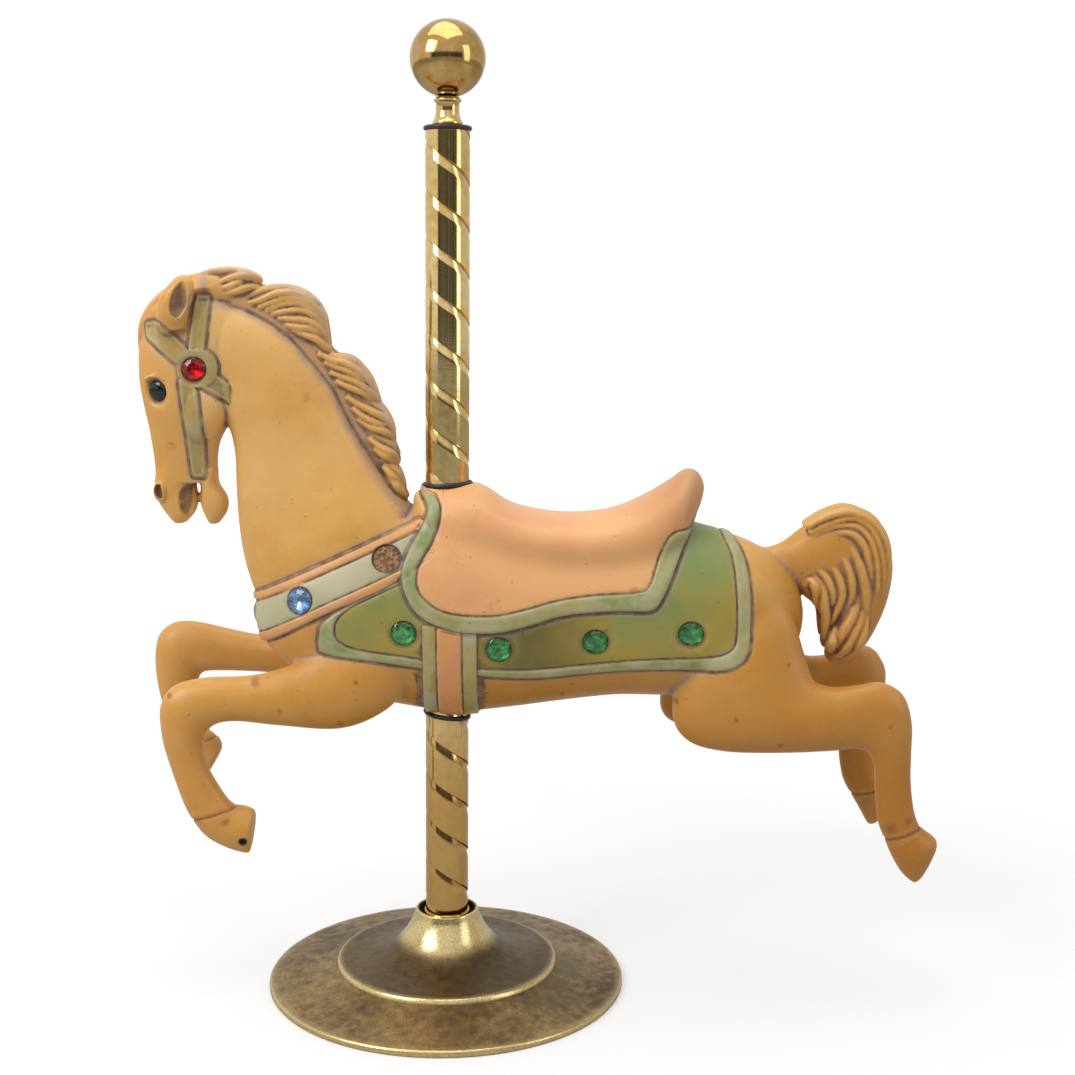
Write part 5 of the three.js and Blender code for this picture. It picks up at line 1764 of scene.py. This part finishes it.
    def crisp_cutters(self, holes: list[Seat]) -> list[tuple[np.ndarray, np.ndarray]]:
        """Seats of the stones and the empty holes.

        Args:
            holes: the empty socket and the hoof's hole.

        Returns:
            Closed shells to cut away.
        """
        shells = [stone.seat.hole(self.stone_clearance, stone.sink) for stone in self.stones]
        shells.append(self.rough_socket(holes[0]))
        shells.append(holes[1].hole(0.0, self.hoof_hole_depth))
        return shells

    def rough_socket(self, socket: Seat) -> tuple[np.ndarray, np.ndarray]:
        """Cutter of the empty socket, its floor rough with old cement."""
        chance = np.random.default_rng(7)
        shares = np.linspace(0.12, 0.92, 7)
        rings = [socket.ring(self.socket_radius * share, -self.socket_depth, 40) for share in shares]
        rings = [ring + socket.axis * chance.uniform(-0.1, 0.55, (40, 1)) for ring in rings]
        rings += [socket.ring(self.socket_radius, level, 40) for level in (-self.socket_depth, 12.0)]
        return skin(np.stack(rings))

    def bore_cutter(self) -> tuple[np.ndarray, np.ndarray]:
        """Bore for the pole, opened out for the two gaskets."""
        bore = round_size("pole")[0] + self.pole_clearance
        rings = []
        for name, sign in (("belly_gasket", -1), ("saddle_gasket", 1)):
            radius, bottom, top = round_size(name)
            radius += self.gasket_clearance
            near = (bottom + top) / 2 - sign * 2.1
            pair = [(radius, near), (radius, near + sign * 60)]
            turned = lathe_rings([(bore, near), *pair] if sign > 0 else [*pair[::-1], (bore, near)], 72)
            turned[:, :, 2] += turned[:, :, 0] * tilt(node_points(name))
            rings.append(turned)
        return skin(np.concatenate(rings))

    def build(self, material: bpy.types.Material) -> bpy.types.Object:
        """Carves, paints and sets the horse in place.

        Args:
            material: the horse's paint.

        Returns:
            The finished piece.
        """
        horse = mesh_object("carved_horse", self.shells())
        remesh = horse.modifiers.new("grow together", "REMESH")
        remesh.mode = "VOXEL"
        remesh.voxel_size = self.voxel * MM
        apply_modifiers(horse)
        carve(horse, self.soft_cutters())
        fairing = Fairing.of(horse.data)
        points = coordinates(horse.data)
        scale = 1.0
        share = self.body_share(points)
        points = fairing.smooth(points, max(int(self.first_rounds * scale), 1))
        points = fairing.smooth(points, max(int(self.body_rounds * scale), 4), share)
        seat_rounds = max(int(self.seat_rounds * scale), 40)
        points = fairing.smooth(points, seat_rounds, self.seat_share(points))
        move_vertices(horse.data, points)
        found = self.distances(points)
        points = points + normals(horse.data) * self.relief(found)[:, None]
        points = self.deepen_hair(fairing, horse.data, self.flatten_seats(points))
        move_vertices(horse.data, points)
        holes = [self.seat_points(horse.data, EMPTY_SOCKET_AT, self.socket_radius),
                 self.seat_points(horse.data, HOOF_HOLE_AT, self.hoof_hole_radius)]
        self.mark_hollows(horse.data, fairing, points)
        carve(horse, self.crisp_cutters(holes))
        carve(horse, [self.bore_cutter()])
        triangles = sum(len(face.vertices) - 2 for face in horse.data.polygons)
        if triangles > self.most_triangles:
            thin = horse.modifiers.new("thin", "DECIMATE")
            thin.ratio = self.most_triangles / triangles
            apply_modifiers(horse)
        self.mark_outlines(horse.data, holes)
        horse.data.materials.clear()
        horse.data.polygons.foreach_set("material_index", np.zeros(len(horse.data.polygons), np.int32))
        return finish_piece(horse, material, self.crease_degrees, Finish.HORSE, "horse")

    def mark_hollows(self, mesh: bpy.types.Mesh, fairing: Fairing, points: np.ndarray) -> None:
        """Marks how far each point lies in a groove or hollow.

        Args:
            mesh: the horse's mesh.
            fairing: its neighbour averaging.
            points: its vertices.
        """
        out = normals(mesh)
        near = fairing.smooth(points, 5)
        far = fairing.smooth(near, 40)
        write_values(mesh, "recess", fairing.smooth(((near - points) * out).sum(1), 1))
        write_values(mesh, "hollow", fairing.smooth(((far - points) * out).sum(1), 2))

    def mark_outlines(self, mesh: bpy.types.Mesh, holes: list[Seat]) -> None:
        """Marks each point's distance from the painted outlines and the stones' seats.

        Args:
            mesh: the horse's finished mesh.
            holes: the empty socket and the hoof's hole.
        """
        points = coordinates(mesh)
        for name, values in self.distances(points).items():
            write_values(mesh, name, values)
        nearest = np.full(len(points), REACH)
        for seat in [*(stone.seat for stone in self.stones), *holes]:
            level, across = seat.measure(points)
            across -= seat.radius
            nearest = np.where((np.abs(level) < 6) & (np.abs(across) < np.abs(nearest)), across, nearest)
        write_values(mesh, "seat", nearest)


@dataclass
class TwistedPole:
    """The brass pole with its two twisted grooves."""

    groove_starts: int = 2
    groove_spacing: float = 32.5
    groove_depth: float = 1.3
    groove_at_front: float = 605.6
    wall_degrees: float = 4.0
    ramp_degrees: float = 40.0
    ring_spacing: float = 2.2

    def build(self, material: bpy.types.Material) -> bpy.types.Object:
        """Makes the pole.

        Args:
            material: polished brass.

        Returns:
            The finished piece.
        """
        radius, bottom, top = round_size("pole")
        heights = np.linspace(bottom, top, int((top - bottom) / self.ring_spacing))
        pitch = self.groove_spacing * self.groove_starts
        turn = -math.pi / 2 - 2 * math.pi * (heights - self.groove_at_front) / pitch
        period = 360 / self.groove_starts
        ramp = self.ramp_degrees * np.linspace(1, 0, 12) ** 1.3
        plain = np.linspace(self.wall_degrees, period - self.ramp_degrees, 28)[1:-1]
        degrees = np.concatenate([period - ramp[:-1], [period, period + self.wall_degrees * 0.4]])
        start = np.concatenate([[self.wall_degrees], plain, degrees])
        depth = np.concatenate([[0.0], np.zeros(len(plain)), (1 - ramp[:-1] / self.ramp_degrees) ** 1.3,
                                [1.0, 0.75]]) * self.groove_depth
        angles = np.radians(np.concatenate([start + period * index for index in range(self.groove_starts)]))
        depths = np.tile(depth, self.groove_starts)
        around = angles[None] + turn[:, None]
        reach = radius - depths
        rings = np.stack([reach * np.cos(around), reach * np.sin(around),
                          heights[:, None] * np.ones(len(angles))], 2)
        piece = mesh_object("twisted_pole", [skin(rings)])
        recess = np.tile((depths / self.groove_depth) ** 3, len(heights))
        recess = np.concatenate([recess, [0.0, 0.0]])
        write_values(piece.data, "recess", recess)
        return finish_piece(piece, material, 30, Finish.POLE, "pole")


@dataclass
class RoundStand:
    """The cast stand: outer disc, raised tier and flaring neck."""

    radius: float = 132.8
    rim_height: float = 5.2
    tier_radius: float = 82.0
    tier_height: float = 19.0
    tier_step: float = 4.5
    lip_radius: float = 23.6
    lip_height: float = 56.0
    lip_width: float = 2.6
    recess_depth: float = 6.0
    bore_radius: float = 16.2
    bore_bottom: float = 41.7
    sides: int = 200

    def profile(self) -> list[tuple[float, float]]:
        """Radius and height pairs from the underside's edge to the bottom of the bore."""
        step_foot = self.tier_height - self.tier_step
        points = [(self.radius - 0.8, 0.0), (self.radius, 1.0), (self.radius, self.rim_height - 2.2)]
        points += [(self.radius - 2.2 + 2.2 * math.cos(a), self.rim_height - 2.2 + 2.2 * math.sin(a))
                   for a in np.radians([20, 45, 70, 90])]
        run = self.radius - 3 - (self.tier_radius + 2)
        for share in np.linspace(0.08, 1, 16):
            rise = (step_foot - self.rim_height) * (0.55 * share + 0.45 * share**2)
            points.append((self.radius - 3 - run * share, self.rim_height + rise))
        points += [(self.tier_radius + 1.0, step_foot + 0.5), (self.tier_radius + 0.5, step_foot + 2.0)]
        points += [(self.tier_radius - 2.2 + 2.4 * math.cos(a), self.tier_height - 2.2 + 2.2 * math.sin(a))
                   for a in np.radians([10, 35, 60, 85])]
        rise, run = self.lip_height - self.tier_height, self.tier_radius - 3 - self.lip_radius
        for share in np.linspace(0.04, 0.97, 26):
            climb = 0.16 * share + 0.7 * share**4.2 + 0.06 * share**14
            points.append((self.tier_radius - 3 - run * share, self.tier_height + rise * climb))
        points += [(self.lip_radius + 0.1, self.lip_height - 2.2), (self.lip_radius, self.lip_height - 0.9),
                   (self.lip_radius - 0.4, self.lip_height - 0.2), (self.lip_radius - 1.0, self.lip_height)]
        inner = self.lip_radius - self.lip_width
        floor = self.lip_height - self.recess_depth
        points += [(inner + 0.5, self.lip_height), (inner, self.lip_height - 0.5), (inner, floor)]
        points += [(self.bore_radius, floor), (self.bore_radius, self.bore_bottom)]
        return points

    def build(self, material: bpy.types.Material) -> bpy.types.Object:
        """Makes the stand.

        Args:
            material: antique brass.

        Returns:
            The finished piece.
        """
        profile = self.profile()
        piece = mesh_object("cast_stand", [skin(lathe_rings(profile, self.sides))])
        radius, height = np.asarray(profile).T
        wear_and_sheen = np.exp(-(((radius - self.tier_radius) / 1.6) ** 2)) * (height > self.tier_height - 3) * 0.9
        # Painted highlight: the upper neck is marked bright like the worn edges.
        wear_and_sheen += ease(height, self.tier_height + 10, self.tier_height + 20) * 0.95
        wear_and_sheen += np.exp(-(((radius - self.radius) / 2.0) ** 2)) * 0.8
        wear_and_sheen = np.where((radius < self.lip_radius - 1.2) | (height < 0.5), 0.0, wear_and_sheen)
        ring = np.repeat(np.clip(wear_and_sheen, 0, 1), self.sides)
        write_values(piece.data, "wear_and_sheen", np.concatenate([ring, [0.0, 0.0]]))
        return finish_piece(piece, material, 40, Finish.STAND, "stand")


@dataclass
class Finial:
    """The ball on its turned neck."""

    ball_sides: int = 128
    neck_sides: int = 96
    ring_rise: float = 17.1
    waist_rise: float = 10.5
    waist_radius: float = 8.25
    ring_radius: float = 9.8
    foot_radius: float = 10.9

    def build(self, ball_metal: bpy.types.Material, neck_metal: bpy.types.Material) -> None:
        """Makes the ball and its neck.

        Args:
            ball_metal: brushed brass of the ball.
            neck_metal: polished brass of the neck.
        """
        radius, bottom, top = round_size("finial_ball")
        middle = top - radius
        start = math.asin(max((bottom - middle) / radius, -0.999))
        profile = [(radius * math.cos(a), middle + radius * math.sin(a))
                   for a in np.linspace(start, math.pi / 2 - 0.02, 64)]
        ball = mesh_object("finial_sphere", [skin(lathe_rings(profile, self.ball_sides))])
        finish_piece(ball, ball_metal, 40, Finish.BALL, "finial_ball")
        _, foot, top = round_size("finial_neck")
        profile = [(self.foot_radius - 0.4, foot), (self.foot_radius, foot + 0.5),
                   (self.foot_radius, foot + 1.8)]
        profile += [(self.waist_radius + (self.foot_radius - self.waist_radius) * (1 - share) ** 2.2,
                     foot + 1.8 + (self.waist_rise - 1.8) * share) for share in np.linspace(0.1, 1, 12)]
        ring_at = foot + self.ring_rise
        profile += [(self.waist_radius, ring_at - 2.0)]
        profile += [(self.waist_radius + (self.ring_radius - self.waist_radius) * math.cos(a),
                     ring_at + 1.5 * math.sin(a)) for a in np.radians([-80, -50, -20, 0, 20, 50, 80])]
        profile += [(self.waist_radius, top)]
        neck = mesh_object("turned_finial_neck", [skin(lathe_rings(profile, self.neck_sides))])
        finish_piece(neck, neck_metal, 50, Finish.POLE, "finial_neck")


@dataclass
class RoundRing:
    """A ring round the pole: a rubber gasket or the small brass ring at the pole's foot."""

    node: str
    name: str
    finish: Finish
    sides: int = 96
    is_disc: bool = False
    lumps: float = 0.12

    def build(self, material: bpy.types.Material) -> bpy.types.Object:
        """Makes the ring from its CAD node's size and tilt.

        Args:
            material: rubber or brass.

        Returns:
            The finished piece.
        """
        points = node_points(self.node)
        slope = tilt(points)
        across = np.hypot(points[:, 0], points[:, 1])
        level = points[:, 2] - points[:, 0] * slope
        outer, inner = across.max(), across.min()
        low, high = level.min(), level.max()
        half, middle = (high - low) / 2, (high + low) / 2
        bulge = min(half, 2.0)
        arc = np.radians(np.linspace(-90, 90, 11))
        profile = [(outer - bulge + bulge * math.cos(a), middle + half * math.sin(a)) for a in arc]
        if self.is_disc:
            shell = skin(lathe_rings(profile, self.sides))
        else:
            shell = drilled(lathe_rings([(inner, low + 0.2), *profile, (inner, high - 0.2)], self.sides))
        turn = np.arctan2(shell[0][:, 1], shell[0][:, 0])
        wave = self.lumps * (np.sin(3 * turn + outer) + 0.5 * np.sin(7 * turn)) / 2
        shell[0][:, 2] += shell[0][:, 0] * slope + wave * (0 if self.finish is Finish.POLE else 1)
        piece = mesh_object(self.name, [shell])
        return finish_piece(piece, material, 50, self.finish, self.node)


@dataclass
class Studio:
    """Pale floor, soft lights and the camera at the photograph's angle."""

    camera_at: tuple[float, float, float] = (65.7, -1158.7, 512.6)
    pitch_degrees: float = 8.56
    roll_degrees: float = 0.533
    lens: float = 53.86
    floor_radius: float = 12.0
    floor_glow: float = 0.42

    def build(self) -> None:
        """Sets up the whole studio."""
        self.camera()
        self.floor()
        self.world()
        self.light("key", (-1.6, -1.25, 1.7), (1.1, 1.2), 26.5)
        self.light("fill", (1.8, -0.9, 1.0), (0.7, 1.5), 5.0)
        self.light("overhead", (-0.1, -0.1, 2.1), (1.8, 1.4), 14.0)
        bpy.context.scene.view_settings.view_transform = "Standard"

    def camera(self) -> None:
        """Camera at the photograph's place."""
        data = bpy.data.cameras.new("camera")
        data.sensor_width = 36.0
        data.lens = self.lens
        data.clip_start, data.clip_end = 0.01, 50.0
        made = bpy.data.objects.new("camera", data)
        tilt = Matrix.Rotation(math.radians(90 - self.pitch_degrees), 4, "X")
        roll = Matrix.Rotation(math.radians(self.roll_degrees), 4, "Z")
        made.matrix_world = Matrix.Translation(Vector(self.camera_at) * MM) @ tilt @ roll
        bpy.context.scene.collection.objects.link(made)
        bpy.context.scene.camera = made

    def floor(self) -> None:
        """Plain pale floor."""
        turn = round_angles(96)
        ring = [(self.floor_radius * math.cos(a), self.floor_radius * math.sin(a), 0.0) for a in turn]
        mesh = bpy.data.meshes.new("floor")
        mesh.from_pydata(ring, [], [tuple(range(96))])
        thing = bpy.data.objects.new("floor", mesh)
        bpy.context.scene.collection.objects.link(thing)
        material, tree, shader = new_material("pale floor")
        shade = tree.span(tree.noise(3.0, 2.0), 0.3, 0.7)
        tree.feed(shader.inputs["Base Color"], tree.blend(shade, (0.5, 0.5, 0.5, 1), (0.48, 0.48, 0.48, 1)))
        shader.inputs["Roughness"].default_value = 0.9
        shader.inputs["Specular IOR Level"].default_value = 0.1
        seen = tree.node("ShaderNodeLightPath").outputs["Is Camera Ray"]
        away = tree.node("ShaderNodeVectorMath", operation="LENGTH")
        tree.feed(away.inputs[0], tree.place())
        glow = tree.span(away.outputs["Value"], 0.5, 2.5, self.floor_glow, 0.9)
        shader.inputs["Emission Color"].default_value = (1, 1, 1, 1)
        tree.feed(shader.inputs["Emission Strength"], tree.times(glow, seen))
        mesh.materials.append(material)

    def world(self) -> None:
        """White surroundings, darker behind the camera so that the brass has contrast."""
        world = bpy.data.worlds.new("studio")
        bpy.context.scene.world = world
        world.use_nodes = True
        tree = Tree(world.node_tree)
        ground = world.node_tree.nodes["Background"]
        split = tree.node("ShaderNodeSeparateXYZ")
        tree.feed(split.inputs[0], tree.node("ShaderNodeTexCoord").outputs["Generated"])
        toward = tree.span(split.outputs[1], -0.94, -0.6, 0.1, 0.86)
        stripes = tree.node("ShaderNodeCombineXYZ")
        tree.feed(stripes.inputs[0], split.outputs[0])
        band = tree.span(tree.noise(9.0, 3.0, stripes.outputs[0]), 0.4, 0.62, 0.03, 0.2)
        front = tree.times(tree.span(split.outputs[1], -0.62, -0.7), tree.span(split.outputs[2], 0.26, 0.16))
        mirrored_room = tree.plus(tree.times(tree.minus(1.0, front), 0.86), tree.times(front, band))
        side = tree.span(split.outputs[0], 0.62, 0.2, 0.75, 1.0)
        rays = tree.node("ShaderNodeLightPath")
        seen = rays.outputs["Is Camera Ray"]
        shiny = rays.outputs["Is Glossy Ray"]
        plain = tree.times(toward, tree.minus(1.0, shiny))
        lit = tree.times(tree.plus(plain, tree.times(mirrored_room, shiny)), side)
        ground.inputs["Color"].default_value = (1, 1, 1, 1)
        tree.feed(ground.inputs["Strength"], tree.most(lit, seen))

    def light(self, name: str, at: tuple[float, float, float], size: tuple[float, float],
              power: float) -> None:
        """Soft rectangular light aimed at the horse.

        Args:
            name: name of the light.
            at: place in metres.
            size: width and height in metres.
            power: watts.
        """
        data = bpy.data.lights.new(name, "AREA")
        data.shape = "RECTANGLE"
        data.size, data.size_y = size
        data.energy = power
        made = bpy.data.objects.new(name, data)
        made.location = at
        made.rotation_euler = (Vector((0, 0, 0.34)) - Vector(at)).to_track_quat("-Z", "Y").to_euler()
        bpy.context.scene.collection.objects.link(made)


def stone_finish(node: str) -> Finish:
    """Slot of a stone by its node's name."""
    for word, finish in (("green", Finish.GREEN), ("blue", Finish.BLUE), ("red", Finish.RED)):
        if node.startswith(word):
            return finish
    return Finish.EYE


def main() -> None:
    """Builds the scene, one class at a time."""
    logging.basicConfig(level=logging.INFO, format="%(message)s")
    effects = Effects()
    Studio().build()
    names = sorted(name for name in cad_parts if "jewel" in name or name.startswith("eye"))
    stones = [Stone(name, stone_finish(name)) for name in names]
    CarvedHorse(stones).build(HorsePaint().build(effects))
    glass = {
        Finish.GREEN: CutGlass("green", paint(196, 238, 202), paint(128, 214, 142)).build(effects),
        Finish.BLUE: CutGlass("blue", paint(226, 240, 255), paint(190, 222, 255)).build(effects),
        Finish.RED: CutGlass("red", paint(235, 40, 50), paint(230, 30, 45)).build(effects),
        Finish.EYE: CutGlass("eye", paint(22, 18, 16), paint(20, 16, 14), clear=False).build(effects),
    }
    for stone in stones:
        stone.build(glass[stone.finish])
    polished = Brass("polished brass").build(effects)
    ball = Brass("brushed ball brass", paint(206, 170, 106), paint(186, 148, 84), roughness=0.06,
                 rough_patches=0.06, tarnish_share=0.3, pitted=0.08).build(effects)
    TwistedPole().build(polished)
    Finial().build(ball, polished)
    RoundStand().build(StandBrass().build(effects))
    black = Rubber("black rubber").build(effects)
    brown = Rubber("brown rubber", paint(52, 34, 26), paint(92, 70, 58)).build(effects)
    for place in ("saddle", "belly"):
        RoundRing(place + "_gasket", place + "_rubber_ring", Finish.BLACK_RUBBER).build(black)
    disc = RoundRing("finial_gasket", "finial_rubber_disc", Finish.BROWN_RUBBER, is_disc=True, lumps=0.0)
    disc.build(brown)
    RoundRing("pole_foot_ring", "pole_foot_band", Finish.POLE).build(polished)


if __name__ == "__main__":
    main()
